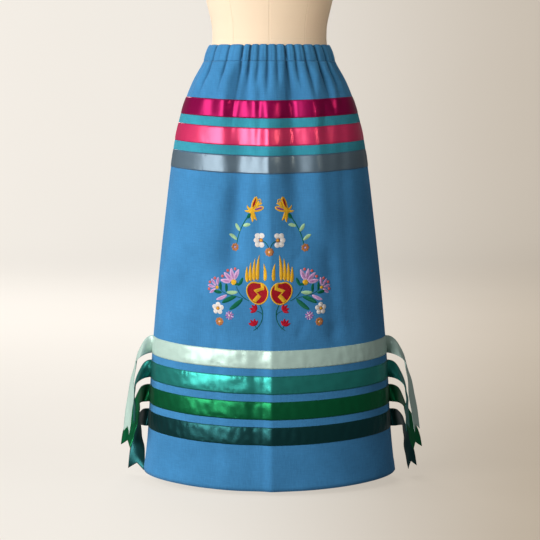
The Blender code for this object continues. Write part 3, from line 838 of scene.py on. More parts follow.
def tail(side, row, top, foot):
    """A free ribbon end, ruled between its two edges. Its width stays the ribbon's: what an edge-on place
    hides from the front goes into depth, the upper edge back and the lower one forward. It is cupped
    across, as v^2, and its end is cut to a swallowtail."""
    sign = 1.0 if side == "left" else -1.0
    upper, lower = tail_edges(row, (abs(foot[0]) - abs(top[0]), top[2] - foot[2]))
    seen, middle = upper - lower, (upper + lower) / 2
    hidden = np.sqrt(np.maximum(RIBBON_WIDTH**2 - (seen**2).sum(axis=1), 0))
    t = np.concatenate([ARCH * ARCH_SHARE, ARCH_SHARE + HANG[1:] * (1 - ARCH_SHARE)])
    y = top[1] + row["depth"] * smooth(t / 0.38)
    line = np.stack([top[0] + sign * middle[:, 0], y, top[2] - middle[:, 1]], axis=-1)
    width = np.stack([sign * seen[:, 0], hidden, -seen[:, 1]], axis=-1)
    across = np.linspace(1.0, -1.0, TAIL_ROWS)
    points = line[:, None] + width[:, None] * across[None, :, None] / 2
    along = unit(np.gradient(line, axis=0))
    face = unit(np.cross(along, width)) * sign
    cup = TAIL_CUP * (across**2 - 0.4) * smooth(t / 0.3)[:, None]
    curl = TAIL_CURL * ripple(t[:, None] * 3.0, across[None, :] * 0.4, 70 + len(row["ribbon"]))
    points = points + face[:, None] * (cup + curl * smooth(t / 0.25)[:, None])[..., None]
    walked = np.concatenate([[0.0], np.cumsum(np.linalg.norm(np.diff(line, axis=0), axis=1))])
    near_tip = 1 - np.clip((walked[-1] - walked) / NOTCH_RUN, 0, 1)
    cut = TAIL_NOTCH * (1 - np.abs(across)) * near_tip[:, None]
    points = points - along[:, None] * cut[..., None]
    if side == "left":
        points, across = points[:, ::-1], across[::-1]
    uv = (walked[:, None], across[None, :] * RIBBON_WIDTH / 2)
    name = f"{row['ribbon']}_{side}"
    piece = grid_piece(f"swallowtail_{name}", points, uv, SATINS[row["ribbon"]],
                       f"tail_{name}", RIBBON_WALL)
    piece.modifiers["wall"].offset = 0.0


def tails():
    """Four tails at each side seam, each from the end of its sewn ribbon."""
    for side, table in TAILS.items():
        sign = 1.0 if side == "left" else -1.0
        for row in (dict(zip(TAIL_COLUMNS, values)) for values in table):
            start = LOWER[row["ribbon"]]
            edge, _ = FRONT.base(np.full(2, sign * math.pi / 2), np.array([start, start + RIBBON_WIDTH]))
            top, foot = edge + (sign * 0.0006, 0, 0)
            tail(side, row, top, foot)


# ---------------------------------------------------------------- stitches

STITCH = {
    "edge": {"length": 0.0021, "pitch": 0.0029, "width": 0.00045, "height": 0.00022},
    "hem": {"length": 0.0026, "pitch": 0.0036, "width": 0.0005, "height": 0.00025},
}
SEWN_WITH = {"magenta": "rose", "pink": "rose", "slate": "blue", "mint": "mint", "aqua": "dark",
             "green": "dark", "pine": "dark"}
SEWING_SLOTS = {"rose": "magenta_satin", "blue": "blue_cotton", "mint": "mint_satin", "dark": "green_satin"}
SEWING_INSET = 0.0016     # from a ribbon's edge to its stitches
ON_RIBBON = 0.00088
ON_HEM = 0.0002


def stitch_row(points, out, kind):
    """(points, uv) of a row of stitches along a line on the cloth: each is a small arch of four by
    three points, height cos(pi u) (1 - v^2), set along the line at an even pitch."""
    length, pitch, width, height = STITCH[kind].values()
    walked = np.concatenate([[0.0], np.cumsum(np.linalg.norm(np.diff(points, axis=0), axis=1))])
    middles = np.arange(pitch, walked[-1] - pitch / 2, pitch)

    def at(values, places):
        """The line's values at distances along it."""
        return np.stack([np.interp(places, walked, values[:, k]) for k in range(3)], axis=-1)

    u = np.array([-0.5, -0.2, 0.2, 0.5]) * length
    v = np.array([-1.0, 0.0, 1.0])
    places = middles[:, None] + u
    on_line, normal = at(points, places.ravel()), unit(at(out, places.ravel()))
    along = unit(at(points, places.ravel() + 0.0002) - on_line)
    across = np.cross(along, normal).reshape(-1, 4, 1, 3)
    on_line, normal = on_line.reshape(-1, 4, 1, 3), normal.reshape(-1, 4, 1, 3)
    arch = height * np.cos(u / length * math.pi * 0.94)[:, None] * (1 - 0.9 * v * v)[None, :]
    grid = on_line + across * (v * width / 2)[None, None, :, None] + normal * arch[None, ..., None]
    uv = np.stack(np.broadcast_arrays(places[..., None], v * width / 2), axis=-1)
    return grid.reshape(-1, 3), uv.reshape(-1, 2)


def stitches(name, rows, paint):
    """Many rows of stitches as one piece."""
    points, uv = (np.concatenate(part) for part in zip(*rows))
    one, size = grid_faces(4, 3)[:, ::-1], 4 * 3
    faces = (one[None] + size * np.arange(len(points) // size)[:, None, None]).reshape(-1, 4)
    new_piece(name, points, faces, uv, paint)


def cloth_line(half, down, lift):
    """(points, outward directions) of a line round one half at one distance down it."""
    angle = np.radians(np.linspace(-89.6, 89.6, 1200))
    down = np.full_like(angle, down)
    points = half.cloth(angle, down, lift)
    return points, half.base(angle, down)[1]


def sewing():
    """The stitches that hold the hem and every ribbon's two edges."""
    rows = {colour: [] for colour in SEWING_SLOTS}
    for _, half in HALVES:
        for ribbon, top in {**UPPER, **LOWER}.items():
            for down in (top + SEWING_INSET, top + RIBBON_WIDTH - SEWING_INSET):
                rows[SEWN_WITH[ribbon]].append(stitch_row(*cloth_line(half, down, ON_RIBBON), "edge"))
        hem = cloth_line(half, SKIRT_LENGTH - HEM_DEPTH, ON_HEM)
        rows["blue"].append(stitch_row(*hem, "hem"))
    for colour, slot in SEWING_SLOTS.items():
        stitches(f"stitches_{colour}", rows[colour], SEWING[colour])


# ---------------------------------------------------------------- embroidery

# Places in the embroidery are in millimetres: outward from the skirt's middle, and up from the row of
# the paws. Every motif is worked on both sides of the middle. Headings are degrees, 0 outward.
EMBROIDERY_DOWN = 0.485
BOTH_SIDES = (1.0, -1.0)
MM = 0.001
RAISED = 1.35             # makes every patch's padding this much fuller


class Needlework:
    """Gathers raised satin-stitch patches by thread colour. A patch is a grid of places with a height
    over the cloth, worked once on each side."""

    def __init__(self):
        self.patches = {}
        self.sides = BOTH_SIDES

    def patch(self, colour, places, height, uv, over=0.0):
        """Adds a grid: its border dips into the cloth, so that no edge floats."""
        for side in self.sides:
            flip = slice(None) if side > 0 else slice(None, None, -1)
            row = (places[:, flip] * (side, 1.0) * MM, (height + over)[:, flip], uv[:, flip])
            self.patches.setdefault(colour, []).append(row)

    def spindle(self, colour, base, heading, length, width, bend=0.0, ends=(0.6, 0.6), raised=0.75, over=0.0):
        """Leaf, petal or claw: its middle line turns evenly by bend, and its half width is
        t^a (1 - t)^b, scaled to its widest, with a rounded crown."""
        t = np.linspace(0.0, 1.0, 15)
        turn = np.radians(heading + bend * (t - 0.5))
        ahead = np.stack([np.cos(turn), np.sin(turn)], axis=-1)
        steps = (ahead[1:] + ahead[:-1]) / 2 * length / (len(t) - 1)
        line = np.array(base) + np.vstack([np.zeros(2), np.cumsum(steps, axis=0)])
        a, b = ends
        widest = (a / (a + b)) ** a * (b / (a + b)) ** b
        half = width / 2 * (t**a * (1 - t) ** b) / widest
        v = np.linspace(-1.0, 1.0, 7)
        left = np.stack([-ahead[:, 1], ahead[:, 0]], axis=-1)
        places = line[:, None] + left[:, None] * (half[:, None] * v)[..., None]
        crown = np.sqrt(np.maximum(1 - v * v, 0))[None, :] * np.minimum(half / width * 4, 1)[:, None] ** 0.5
        raised = raised * RAISED
        uv = np.stack([np.broadcast_to(t[:, None] * length, crown.shape), half[:, None] * v], axis=-1) * MM
        self.patch(colour, places, (raised * crown - 0.12) * MM, uv, over * MM)

    def spot(self, colour, middle, radius, lobes=0, dent=0.0, raised=0.8, over=0.0):
        """Round or lobed filling: radius (1 - dent cos(lobes f)) at bearing f, domed."""
        r = np.linspace(0.0, 1.0, 5)[:, None]
        f = np.linspace(0.0, math.tau, 8 * max(lobes, 2) + 1)[None, :]
        reach = radius * r * (1 - dent * np.cos(lobes * f))
        places = np.array(middle) + np.stack([reach * np.cos(f), reach * np.sin(f)], axis=-1)
        crown = np.broadcast_to(np.sqrt(1 - r * r), reach.shape) * RAISED
        uv = np.stack([reach, np.broadcast_to(f * radius * 0.3, reach.shape)], axis=-1) * MM
        self.patch(colour, places, (raised * crown - 0.1) * MM, uv, over * MM)

    def stalk(self, colour, ends, width, raised=0.55, over=0.0, steps=18):
        """Stem stitch along a cubic curve, thinner towards its end."""
        t = np.linspace(0.0, 1.0, steps)
        self.strip(colour, bezier(ends, t), width * (1 - 0.25 * t), raised, over)

    def strip(self, colour, line, width, raised=0.55, over=0.0, across=None):
        """A raised band along a line, across it or along one set direction."""
        ahead = unit(np.gradient(line, axis=0))
        left = np.stack([-ahead[:, 1], ahead[:, 0]], axis=-1) if across is None else np.array(across)
        v = np.linspace(-1.0, 1.0, 5)
        half = np.broadcast_to(np.asarray(width) / 2, len(line))
        places = line[:, None] + np.broadcast_to(left, line.shape)[:, None] * (half[:, None] * v)[..., None]
        walked = np.concatenate([[0.0], np.cumsum(np.linalg.norm(np.diff(line, axis=0), axis=1))])
        crown = np.broadcast_to(np.sqrt(np.maximum(1 - v * v, 0)), (len(line), 5)) * RAISED
        uv = np.stack([np.broadcast_to(walked[:, None], crown.shape), half[:, None] * v], axis=-1) * MM
        self.patch(colour, places, (raised * crown - 0.1) * MM, uv, over * MM)

    def sew(self):
        """Lays every patch on the front of the skirt, one piece for each thread colour."""
        for colour, patches in self.patches.items():
            points, faces, uvs, start = [], [], [], 0
            for places, height, uv in patches:
                rows, columns = height.shape
                arc, down = places[..., 0], EMBROIDERY_DOWN - places[..., 1]
                points.append(FRONT.cloth(FRONT.angle_at(arc, down), down, height).reshape(-1, 3))
                faces.append(grid_faces(rows, columns) + start)
                uvs.append(uv.reshape(-1, 2))
                start += rows * columns
            new_piece(f"embroidery_{colour}", np.concatenate(points), np.concatenate(faces),
                      np.concatenate(uvs), THREADS[colour])


def lily(work):
    """A yellow lily on a leafy stem that ends in a small copper flower."""
    x, y = 38.0, 171.0
    for heading, length, width, slit in ((110.0, 32.0, 11.0, "ruby"), (163.0, 28.0, 10.5, "violet")):
        work.spindle("yellow", (x, y), heading, length, width, -10.0, (0.60, 0.50), 0.8, 0.1)
        lean = math.radians(heading)
        inner = (x + 6.5 * math.cos(lean), y + 6.5 * math.sin(lean))
        work.spindle(slit, inner, heading, length * 0.70, width * 0.52, -8.0, (0.6, 0.6), 0.5, 0.75)
    loop = [(x - 4.0, y + 6.0), (x - 10.0, y + 35.0), (x - 36.0, y + 26.0), (x - 7.0, y + 4.0)]
    work.stalk("yellow", loop, 2.4, 0.8, 0.2, 26)
    work.spindle("yellow", (29.0, 180.0), 118.0, 15.0, 5.0, -50.0, (0.4, 0.5), 0.7)
    work.spindle("yellow", (27.0, 179.0), 148.0, 15.5, 5.0, 55.0, (0.4, 0.5), 0.7)
    work.spindle("yellow", (x + 1.0, y + 2.0), 48.0, 14.0, 5.0, 70.0, (0.5, 0.8), 0.7)
    work.spindle("yellow", (x + 1.0, y), -2.0, 15.0, 5.5, 40.0, (0.5, 0.8), 0.7)
    work.spindle("yellow", (x + 1.0, y - 2.0), -98.0, 23.0, 7.0, 30.0, (0.5, 0.7), 0.8)
    work.spindle("yellow", (x - 5.0, y - 2.0), -112.0, 20.0, 6.5, -55.0, (0.5, 0.7), 0.8)
    work.spot("yellow", (x, y), 6.5, raised=1.0)
    work.spindle("leaf", (47.0, 155.0), 125.0, 13.0, 8.0, 0.0, (0.5, 0.5), 0.9, 0.2)
    work.stalk("leaf", [(46.0, 158.0), (58.0, 142.0), (69.0, 124.0), (72.5, 99.0)], 2.6)
    for base, heading, length, bend in (((57.0, 138.0), 167.0, 18.0, 25.0), ((63.5, 127.0), 54.0, 20.0, 25.0),
                                        ((72.0, 108.0), 35.0, 21.0, -20.0)):
        work.spindle("lime", base, heading, length, 8.0, bend, (0.6, 0.6))
    rosette(work, "copper", (76.0, 93.0), 8.8, 7, "blush")


def rosette(work, colour, middle, reach, petals, heart, ring=None, first=0.0):
    """Round flower: equal domed petals about a small heart."""
    size = reach * 0.62
    for k in range(petals):
        lean = first + math.tau * k / petals
        at = (middle[0] + size * math.cos(lean), middle[1] + size * math.sin(lean))
        work.spot(colour, at, reach * (0.30 + 0.55 / petals), raised=0.85)
    if ring:
        work.spot(ring, middle, reach * 0.33, raised=0.9, over=0.25)
    work.spot(heart, middle, reach * 0.22, raised=1.0, over=0.45)


def pansies(work):
    """Two white flowers on stems that rise from a copper one at the middle."""
    for lean, reach in ((0.0, 8.6), (57.0, 10.6), (108.0, 9.8), (-57.0, 10.6), (-106.0, 10.0)):
        lean = math.radians(lean)
        work.spot("white", (19.0 + reach * math.cos(lean), 110.0 + reach * math.sin(lean)), 5.9, raised=0.9)
    work.spot("copper", (17.5, 110.0), 4.4, raised=0.9, over=0.3)
    work.spot("yellow", (17.5, 110.0), 2.6, raised=1.0, over=0.5)
    work.stalk("stem", [(15.0, 108.5), (8.0, 107.0), (2.5, 101.0), (1.0, 90.0)], 2.3)
    work.sides = BOTH_SIDES[:1]
    rosette(work, "copper", (0.0, 86.0), 9.6, 8, "blush", "yellow")
    work.sides = BOTH_SIDES


PAD_MIDDLE = (26.0, 0.0)
PAD_HALF = (21.8, 23.2)


def pad_edge(bearing, reach=1.0):
    """Edge of a paw's pad: an oval, drawn in towards the skirt's middle below, with a dent on top."""
    s, c = np.sin(bearing), np.cos(bearing)
    dent = 2.4 * np.exp(-((((bearing - math.radians(97.0)) / 0.27) ** 2)))
    out = PAD_HALF[0] * c * (1 + 0.13 * s) * reach - 2.6 * (1 - s * reach)
    return np.stack([PAD_MIDDLE[0] + 1.6 + out, PAD_MIDDLE[1] + (PAD_HALF[1] * s - dent) * reach], axis=-1)


def paw(work):
    """Dark red pad with a yellow edge and lightning line, and five yellow claws."""
    bearing = np.linspace(0.0, math.tau, 61)
    r = np.linspace(0.0, 1.0, 9)
    places = np.stack([pad_edge(bearing, share * 0.97) for share in r])
    height = np.broadcast_to(0.80 * np.sqrt(1 - (r * 0.90) ** 2)[:, None], places.shape[:2]) * MM
    work.patch("ruby", places, height, places * MM)
    work.strip("yellow", pad_edge(bearing), 3.0, 0.8, 0.15)
    bolt = np.array([(15.0, 19.5), (14.0, 9.5), (29.5, 4.0), (21.0, -5.0), (32.0, -17.5)])
    steps = np.linspace(0, len(bolt) - 1, 33)
    line = np.stack([np.interp(steps, np.arange(len(bolt)), bolt[:, k]) for k in (0, 1)], axis=-1)
    work.strip("yellow", line, 8.6, 0.5, 0.85, across=(-0.86, -0.5))
    for k in range(4):
        base = (46.0 - 7.2 * k, 21.5 + 2.2 * k * (1 - 0.12 * k))
        work.spindle("yellow", base, 88.0 + 2.0 * k, 34.0 + 7.0 * k, 7.9, 14.0, (0.30, 0.85), 1.0)
    work.spindle("yellow", (9.5, 25.0), 86.0, 38.0, 7.6, -24.0, (0.36, 0.90), 1.0)


def aster(work, middle, reach, first, step, heart):
    """Half-open aster: a fan of two-tone petals with a coral bead between each pair."""
    for k in range(4):
        heading = first + step * k
        lean = math.radians(heading)
        at = (middle[0] + 3.5 * math.cos(lean), middle[1] + 3.5 * math.sin(lean))
        work.spindle("blush", at, heading, reach, reach * 0.37, 8.0, (0.8, 0.75), 0.7)
        for off in (-1.0, 0.0, 1.0):
            aside = math.radians(heading + 90.0 * off)
            start = (at[0] + 4.0 * math.cos(lean) + 1.9 * abs(off) * math.cos(aside),
                     at[1] + 4.0 * math.sin(lean) + 1.9 * abs(off) * math.sin(aside))
            work.spindle("lilac", start, heading - 7.0 * off, reach * 0.66, reach * 0.06, 6.0, (0.7, 0.6),
                         0.4, 0.6)
        if k < 3:
            lean = math.radians(heading + step / 2)
            bead = (middle[0] + reach * 1.04 * math.cos(lean), middle[1] + reach * 1.04 * math.sin(lean))
            work.spot("coral", bead, 3.3, raised=1.1)
    work.spot("yellow", middle, heart, 8, 0.08, 1.0, 0.3)


def spray(work):
    """Side spray: two asters, leaves, and a white, a star and a copper flower below them."""
    work.stalk("stem", [(43.0, -16.5), (56.0, -12.0), (64.0, -2.0), (70.0, 12.0)], 2.0)
    work.stalk("stem", [(56.0, -12.5), (74.0, -6.0), (92.0, -8.0), (105.0, 4.0)], 1.8)
    aster(work, (76.0, 21.0), 26.0, 6.0, 35.0, 6.2)
    aster(work, (112.0, 8.0), 18.5, -36.0, 44.0, 3.6)
    for base, heading, length, width, bend in (
        ((66.0, 14.0), 118.0, 20.0, 7.0, -30.0), ((63.0, 17.5), 12.0, 22.0, 7.0, 40.0),
        ((103.0, 2.0), 86.0, 18.0, 6.5, 30.0), ((101.0, -2.0), 10.0, 20.0, 7.5, 25.0),
        ((92.0, -1.0), 88.0, 19.0, 6.5, -25.0),
    ):
        work.spindle("leaf", base, heading, length, width, bend)
    work.spindle("lime", (66.5, 1.0), -4.0, 25.0, 8.5, 20.0)
    work.spindle("leaf", (69.0, -8.0), -26.0, 36.0, 9.5, -14.0, over=0.1)
    work.spindle("leaf", (56.0, -12.5), -40.0, 38.0, 9.5, 14.0, over=0.1)
    work.spindle("blush", (90.0, -6.0), -26.0, 27.0, 7.5, 20.0)
    work.spindle("lilac", (93.0, -7.5), -26.0, 21.0, 3.2, 20.0, raised=0.4, over=0.5)
    rosette(work, "white", (110.0, -35.5), 13.0, 5, "yellow", "copper", math.radians(20.0))
    star = (84.5, -49.0)
    for k in range(9):
        work.spindle("blush" if k % 2 else "lilac", star, 40.0 * k, 9.6, 3.4, 0.0, (1.0, 0.5))
    work.spot("white", star, 1.9, raised=1.0, over=0.4)
    rosette(work, "copper", (106.5, -63.0), 9.2, 8, "blush", "yellow")


def tulips(work):
    """Two red tulips on a curved stem below the paw."""
    work.stalk("stem", [(20.0, -25.0), (7.0, -46.0), (17.0, -70.0), (33.0, -78.0)], 2.4)
    work.stalk("stem", [(14.5, -45.0), (17.0, -41.0), (21.0, -39.0), (28.0, -37.0)], 1.8)
    work.stalk("stem", [(25.0, -75.0), (28.0, -73.0), (30.0, -70.0), (31.0, -66.0)], 1.8)
    for x, y, lean in ((27.5, -36.0, 22.0), (31.0, -68.0, 62.0)):
        for k, (off, length) in enumerate(((-42.0, 14.0), (-8.0, 15.0), (26.0, 15.0), (58.0, 13.0))):
            work.spindle("red", (x, y), lean + off, length, 6.6, 10.0 - 8.0 * k, (0.55, 0.75), 0.8)
        lean = math.radians(lean)
        work.spot("red", (x + 3.5 * math.cos(lean), y + 3.5 * math.sin(lean)), 4.6)


def embroidery():
    """All the motifs, then one piece for each colour of thread."""
    work = Needlework()
    for motif in (lily, pansies, paw, spray, tulips):
        motif(work)
    work.sew()


# ---------------------------------------------------------------- dress form

BUST_Z = 1.165
BUST_HEIGHT = 0.055
BUST_DEGREES = 27.0
BUST_SPREAD = 21.0
BUST_DEPTH = 0.026
ARM_PLANE = 0.1620
SEAM_DEGREES = (0.0, 38.0, 90.0, 142.0, 180.0, 218.0, 270.0, 322.0)
SEAM_LIP_DEGREES = 0.9    # from a seam to the soft ridge beside it
WAIST_SEAM_Z = 0.953
CAP_DOME = 0.0012         # how far the closed ends of the form bulge
COVER_RADIUS = 0.14       # turns angles into lengths for the knit


def from_seam(degrees):
    """Degrees to the nearest seam."""
    return np.min(np.abs((degrees[..., None] - np.array(SEAM_DEGREES) + 180) % 360 - 180), axis=-1)


def form_angles():
    """Even angles round the form, with close ones beside each seam."""
    near = np.array([-1.8, -0.9, -0.45, -0.2, 0.0, 0.2, 0.45, 0.9, 1.8])
    even = np.arange(0.0, 360.0, 3.0)
    far = from_seam(even) > 2.2
    close = (np.array(SEAM_DEGREES)[:, None] + near).ravel() % 360
    return np.radians(np.sort(np.concatenate([even[far], close])))


def form_surface(angle, z):
    """The padded torso: a rounded-square oval at each height, with the bust, the armholes' flats, and
    a groove along every seam."""
    a, front, rear, power = (size_at(z, FORM_SECTIONS, FORM_COLUMNS, name) for name in FORM_COLUMNS[1:])
    s, c = np.sin(angle), -np.cos(angle)
    x = np.sign(s) * np.abs(s) ** (2 / power) * a
    y = np.sign(c) * np.abs(c) ** (2 / power) * np.where(c < 0, front, rear)
    off = np.degrees(np.abs((angle + math.pi) % math.tau - math.pi))
    lobe = np.exp(-(((off - BUST_DEGREES) / BUST_SPREAD) ** 2))
    y = y - BUST_DEPTH * lobe * np.exp(-(((z - BUST_Z) / BUST_HEIGHT) ** 2))
    x = np.where(z > 1.0, np.clip(x, -ARM_PLANE, ARM_PLANE), x)
    gap = from_seam(np.degrees(angle))
    groove = np.exp(-((gap / 0.28) ** 2)) * 0.0006
    groove = groove - np.exp(-(((gap - SEAM_LIP_DEGREES) / 0.5) ** 2)) * 0.0002
    groove = groove + 0.0002 * np.exp(-(((z - WAIST_SEAM_Z) / 0.0009) ** 2))
    inward = unit(np.stack([x / a**2, y / np.maximum(front, 0.03) ** 2], axis=-1))
    return np.stack([x - inward[..., 0] * groove, y - inward[..., 1] * groove, z], axis=-1)


def form_torso():
    """The torso from hip to neck, closed at both ends by rings drawn in to a point."""
    angle = form_angles()
    angle = np.append(angle, angle[0] + math.tau)
    hips = np.linspace(FORM_SECTIONS[0, 0] + 0.002, WAIST_SEAM_Z - 0.0025, 46)
    waist = np.linspace(WAIST_SEAM_Z - 0.0015, WAIST_SEAM_Z + 0.0020, 6)
    bust = np.linspace(WAIST_SEAM_Z + 0.0045, FORM_SECTIONS[-1, 0] - 0.0015, 92)
    z = np.concatenate([hips, waist, bust])[::-1]
    grid = form_surface(*np.broadcast_arrays(angle[None, :], z[:, None]))
    top, low = grid[:1].copy(), grid[-1:].copy()
    rings = [top * (k, k, 1) + (0, 0, CAP_DOME * (1 - k**4)) for k in (0.0, 0.4, 0.8, 0.97)]
    ends = [low * (k, k, 1) - (0, 0, CAP_DOME * (1 - k**4)) for k in (0.97, 0.8, 0.4, 0.0)]
    grid = np.concatenate([*rings, grid, *ends])
    walked = np.concatenate([[0.0], np.cumsum(np.linalg.norm(np.diff(grid[:, 0], axis=0), axis=1))])
    torso = grid_piece("form_torso_cover", grid, (angle[None, :] * COVER_RADIUS, -walked[:, None]), JERSEY,
                       "form_torso", closed=True)


TURNED_SIDES = 72
SHARP = math.radians(38.0)


def turned(name, profile, paint, node):
    """A solid of revolution about the upright middle line: radius and height along a profile that runs
    from the top down its outer side to the bottom."""
    profile = np.array(profile, float)
    turn = np.linspace(0.0, math.tau, TURNED_SIDES + 1)
    r, z = profile[:, :1], profile[:, 1:]
    grid = np.stack([r * np.sin(turn), -r * np.cos(turn), z * np.ones_like(turn)], axis=-1)
    piece = grid_piece(name, grid, (turn[None, :] * 0.05, -z), paint, node, closed=True)
    piece.data.set_sharp_from_angle(angle=SHARP)


def rounded(corners, radius, steps=5):
    """A profile whose inner corners are rounded: each becomes a short quadratic curve."""
    corners = [np.array(c, float) for c in corners]
    made = [corners[0]]
    for before, corner, after in zip(corners, corners[1:], corners[2:]):
        first = corner + (before - corner) * min(0.45, radius / max(np.linalg.norm(before - corner), 1e-6))
        last = corner + (after - corner) * min(0.45, radius / max(np.linalg.norm(after - corner), 1e-6))
        for t in np.linspace(0.0, 1.0, steps):
            made.append(first * (1 - t) ** 2 + corner * 2 * t * (1 - t) + last * t * t)
    return made + [corners[-1]]


def span(node):
    """(bottom, top, radius) of a round, upright CAD node."""
    low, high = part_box(node)
    return low.z, high.z, (high.x - low.x) / 2


def stand():
    """Base with a boss, pole with a collar at its foot, and the flange under the form."""
    low, high, r = span("form_base")
    base = [(0, high), (0.021, high), (0.026, high - 0.020), (0.036, low + 0.010), (r - 0.010, low + 0.007),
            (r, low + 0.005), (r, low), (0, low)]
    turned("stand_base", rounded(base, 0.0025), STEEL, "form_base")
    low, high, r = span("form_pole")
    collar = r + 0.0012
    pole = [(0, high), (r, high), (r, low + 0.10), (collar, low + 0.098), (collar, low), (0, low)]
    turned("stand_pole", rounded(pole, 0.0006, 3), STEEL, "form_pole")
    low, high, r = span("form_flange")
    flange = [(0, high), (r, high), (r, low), (0, low)]
    turned("stand_flange", rounded(flange, 0.0015), STEEL, "form_flange")


def neck_cap():
    """Round wooden cap on the neck, with a waisted knob: radius and height over the neck."""
    low, _, r = span("form_neck_cap")
    knob = [(0, 0.060), (0.010, 0.057), (0.014, 0.048), (0.010, 0.036), (0.008, 0.026), (0.020, 0.018),
            (r * 0.75, 0.013), (r, 0.007), (r, 0.0), (0, 0.0)]
    turned("neck_cap", rounded([(a, low + b) for a, b in knob], 0.005), WOOD, "form_neck_cap")


def arm_plates():
    """A wooden plate on each armhole: a profile of radius and thickness, as shares of the plate's own,
    turned about a line across the form, with a shallow ring in its face."""
    profile = np.array(rounded([(0, 1.0), (0.88, 1.0), (1.0, 0.35), (1.0, -1.0), (0, -1.0)], 0.08))
    r, t = profile[:, :1], profile[:, 1:]
    turn = np.linspace(0.0, math.tau, TURNED_SIDES + 1)
    ring = 0.25 * np.exp(-(((r - 0.55) / 0.10) ** 2)) * (t > 0.9)
    for side, sign in (("left", 1.0), ("right", -1.0)):
        low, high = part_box(f"form_arm_plate_{side}")
        middle, half = (low + high) / 2, (high - low) / 2
        x = middle.x + sign * half.x * (t - ring) * np.ones_like(turn)
        y = middle.y + sign * half.y * r * np.cos(turn)
        grid = np.stack([x, y, middle.z + half.z * r * np.sin(turn)], axis=-1)
        plate = grid_piece(f"arm_plate_{side}", grid, (turn[None, :] * 0.04, -t * 0.003), WOOD,
                           f"form_arm_plate_{side}", closed=True)
        plate.data.set_sharp_from_angle(angle=SHARP)


# ---------------------------------------------------------------- floor, light and camera

CAMERA_X = 0.0013
CAMERA_Y = -4.3
CAMERA_Z = 0.8542
CAMERA_PITCH = 5.28
LENS = 133.3
SENSOR = 36.0
# The paper's glow is painted light, and both glow and colour are painted darker on the right as painted
# shade.
PAPER_PAINTED_LIGHT = ((0.690, 0.660, 0.610, 1.0), (0.350, 0.288, 0.215, 1.0))   # on the left, on the right
PAPER = ((0.170, 0.160, 0.150, 1.0), (0.150, 0.135, 0.115, 1.0))
FLOOR_RADIUS = 5.6
SWEEP_RADIUS = 2.2


def studio():
    """A round floor that sweeps up into a wall, all one warm pale paper that glows: painted light. Its
    glow and colour are painted darker from left to right as the camera stands, as painted shade, a
    little less so far behind the skirt."""
    paint = Paint("warm_paper", {"Specular IOR Level": 0.0, "Emission Strength": 1.0})
    place = paint.node("TexCoord", {}, {}, "Object")
    cloud = paint.noise(place, 1.2, 3.0)
    aside, away = paint.parts(place)
    # Painted shade: the share of the darker right-hand colours grows from left to right as the camera stands,
    # and shrinks a little far behind.
    reach = (away + 1.0).maths("ABSOLUTE") - (CAMERA_Y + 1.0)
    limits = {"Value": aside / reach, "From Min": -0.06, "From Max": 0.17}
    share = paint.node("MapRange", {"interpolation_type": "SMOOTHSTEP"}, limits) * 0.94 + cloud * 0.06
    behind = (away * (1 / 6.0)).maths("MAXIMUM", 0.0).maths("MINIMUM", 1.0)
    share = share * (1.0 - behind * 0.24)
    paint.set("Emission Color", paint.mix(share, *PAPER_PAINTED_LIGHT))
    paint.set("Base Color", paint.mix(share, *PAPER))
    paint.set("Roughness", cloud * 0.05 + 0.9)
    turn = np.linspace(0.0, math.tau, 97)
    sweep = np.linspace(0.0, math.pi / 2, 15)
    wall = FLOOR_RADIUS + SWEEP_RADIUS
    r = np.concatenate([np.linspace(0.0, FLOOR_RADIUS, 12)[:-1], FLOOR_RADIUS + SWEEP_RADIUS * np.sin(sweep),
                        [wall, wall]])[:, None]
    z = np.concatenate([np.zeros(11), SWEEP_RADIUS * (1 - np.cos(sweep)), [3.6, 5.2]])[:, None]
    grid = np.stack([r * np.cos(turn), r * np.sin(turn), z * np.ones_like(turn)], axis=-1)
    mesh = bpy.data.meshes.new("studio_floor")
    mesh.from_pydata(grid.reshape(-1, 3).tolist(), [], grid_faces(*grid.shape[:2]).tolist())
    mesh.shade_smooth()
    mesh.materials.append(paint.material)
    floor = bpy.data.objects.new("studio_floor", mesh)
    floor.visible_diffuse = floor.visible_glossy = False
    bpy.context.scene.collection.objects.link(floor)


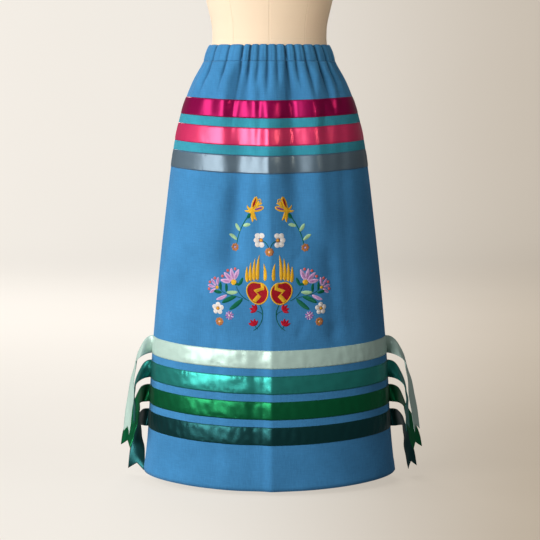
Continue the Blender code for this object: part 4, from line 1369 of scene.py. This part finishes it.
def softbox(name, place, target, size, power, colour, mirrored=True):
    """An area light at a place, turned to its target. One that isn't mirrored makes no highlights."""
    light = bpy.data.lights.new(name, "AREA")
    light.shape = "RECTANGLE"
    light.size, light.size_y = size
    light.energy = power
    light.color = colour
    lamp = bpy.data.objects.new(name, light)
    lamp.location = place
    lamp.visible_camera = False
    lamp.visible_glossy = mirrored
    lamp.rotation_mode = "QUATERNION"
    lamp.rotation_quaternion = (Vector(target) - Vector(place)).to_track_quat("-Z", "Y")
    bpy.context.scene.collection.objects.link(lamp)
    return light


def lights():
    """A large soft key from the front's left, a side light and a weak fill without highlights, a light
    from behind, a small warm one on the form, a wash over the wall, and a warm, even ambience."""
    hips, day, warm = (0.0, 0.0, 0.75), (1.0, 0.985, 0.96), (1.0, 0.97, 0.94)
    softbox("key", (-2.40, -2.65, 1.45), hips, (2.6, 2.7), 195.0, day)
    softbox("side", (-3.3, -0.3, 1.6), hips, (1.6, 2.0), 60.0, day, mirrored=False)
    softbox("fill", (3.0, -1.7, 1.2), (0.0, 0.0, 0.6), (2.2, 2.2), 16.0, (1.0, 0.97, 0.93), mirrored=False)
    softbox("back", (-0.6, 3.4, 2.7), (0.0, 0.0, 0.7), (2.0, 1.4), 90.0, warm)
    softbox("wall_wash", (-3.6, 3.0, 2.6), (0.0, 8.0, 1.4), (2.0, 2.0), 330.0, warm)
    on_form = softbox("form_fill", (2.1, -2.6, 1.75), (0.0, 0.0, 1.45), (0.5, 0.5), 1.8, (1.0, 0.82, 0.58))
    on_form.spread = math.radians(30.0)
    world = bpy.data.worlds.new("ambience")
    world.use_nodes = True
    glow = world.node_tree.nodes["Background"]
    glow.inputs["Color"].default_value = (1.0, 0.975, 0.95, 1.0)
    glow.inputs["Strength"].default_value = 0.14
    bpy.context.scene.world = world


def camera():
    """The eye, at the height of the waist, tipped down a little."""
    lens = bpy.data.cameras.new("camera")
    lens.lens, lens.sensor_width = LENS, SENSOR
    eye = bpy.data.objects.new("camera", lens)
    eye.location = (CAMERA_X, CAMERA_Y, CAMERA_Z)
    eye.rotation_euler = (math.radians(90.0 - CAMERA_PITCH), 0.0, 0.0)
    bpy.context.scene.collection.objects.link(eye)
    bpy.context.scene.camera = eye


skirt_panels()
waistband()
ribbons()
tails()
sewing()
embroidery()
form_torso()
stand()
neck_cap()
arm_plates()
studio()
lights()
camera()
bpy.context.scene.view_settings.view_transform = "Standard"
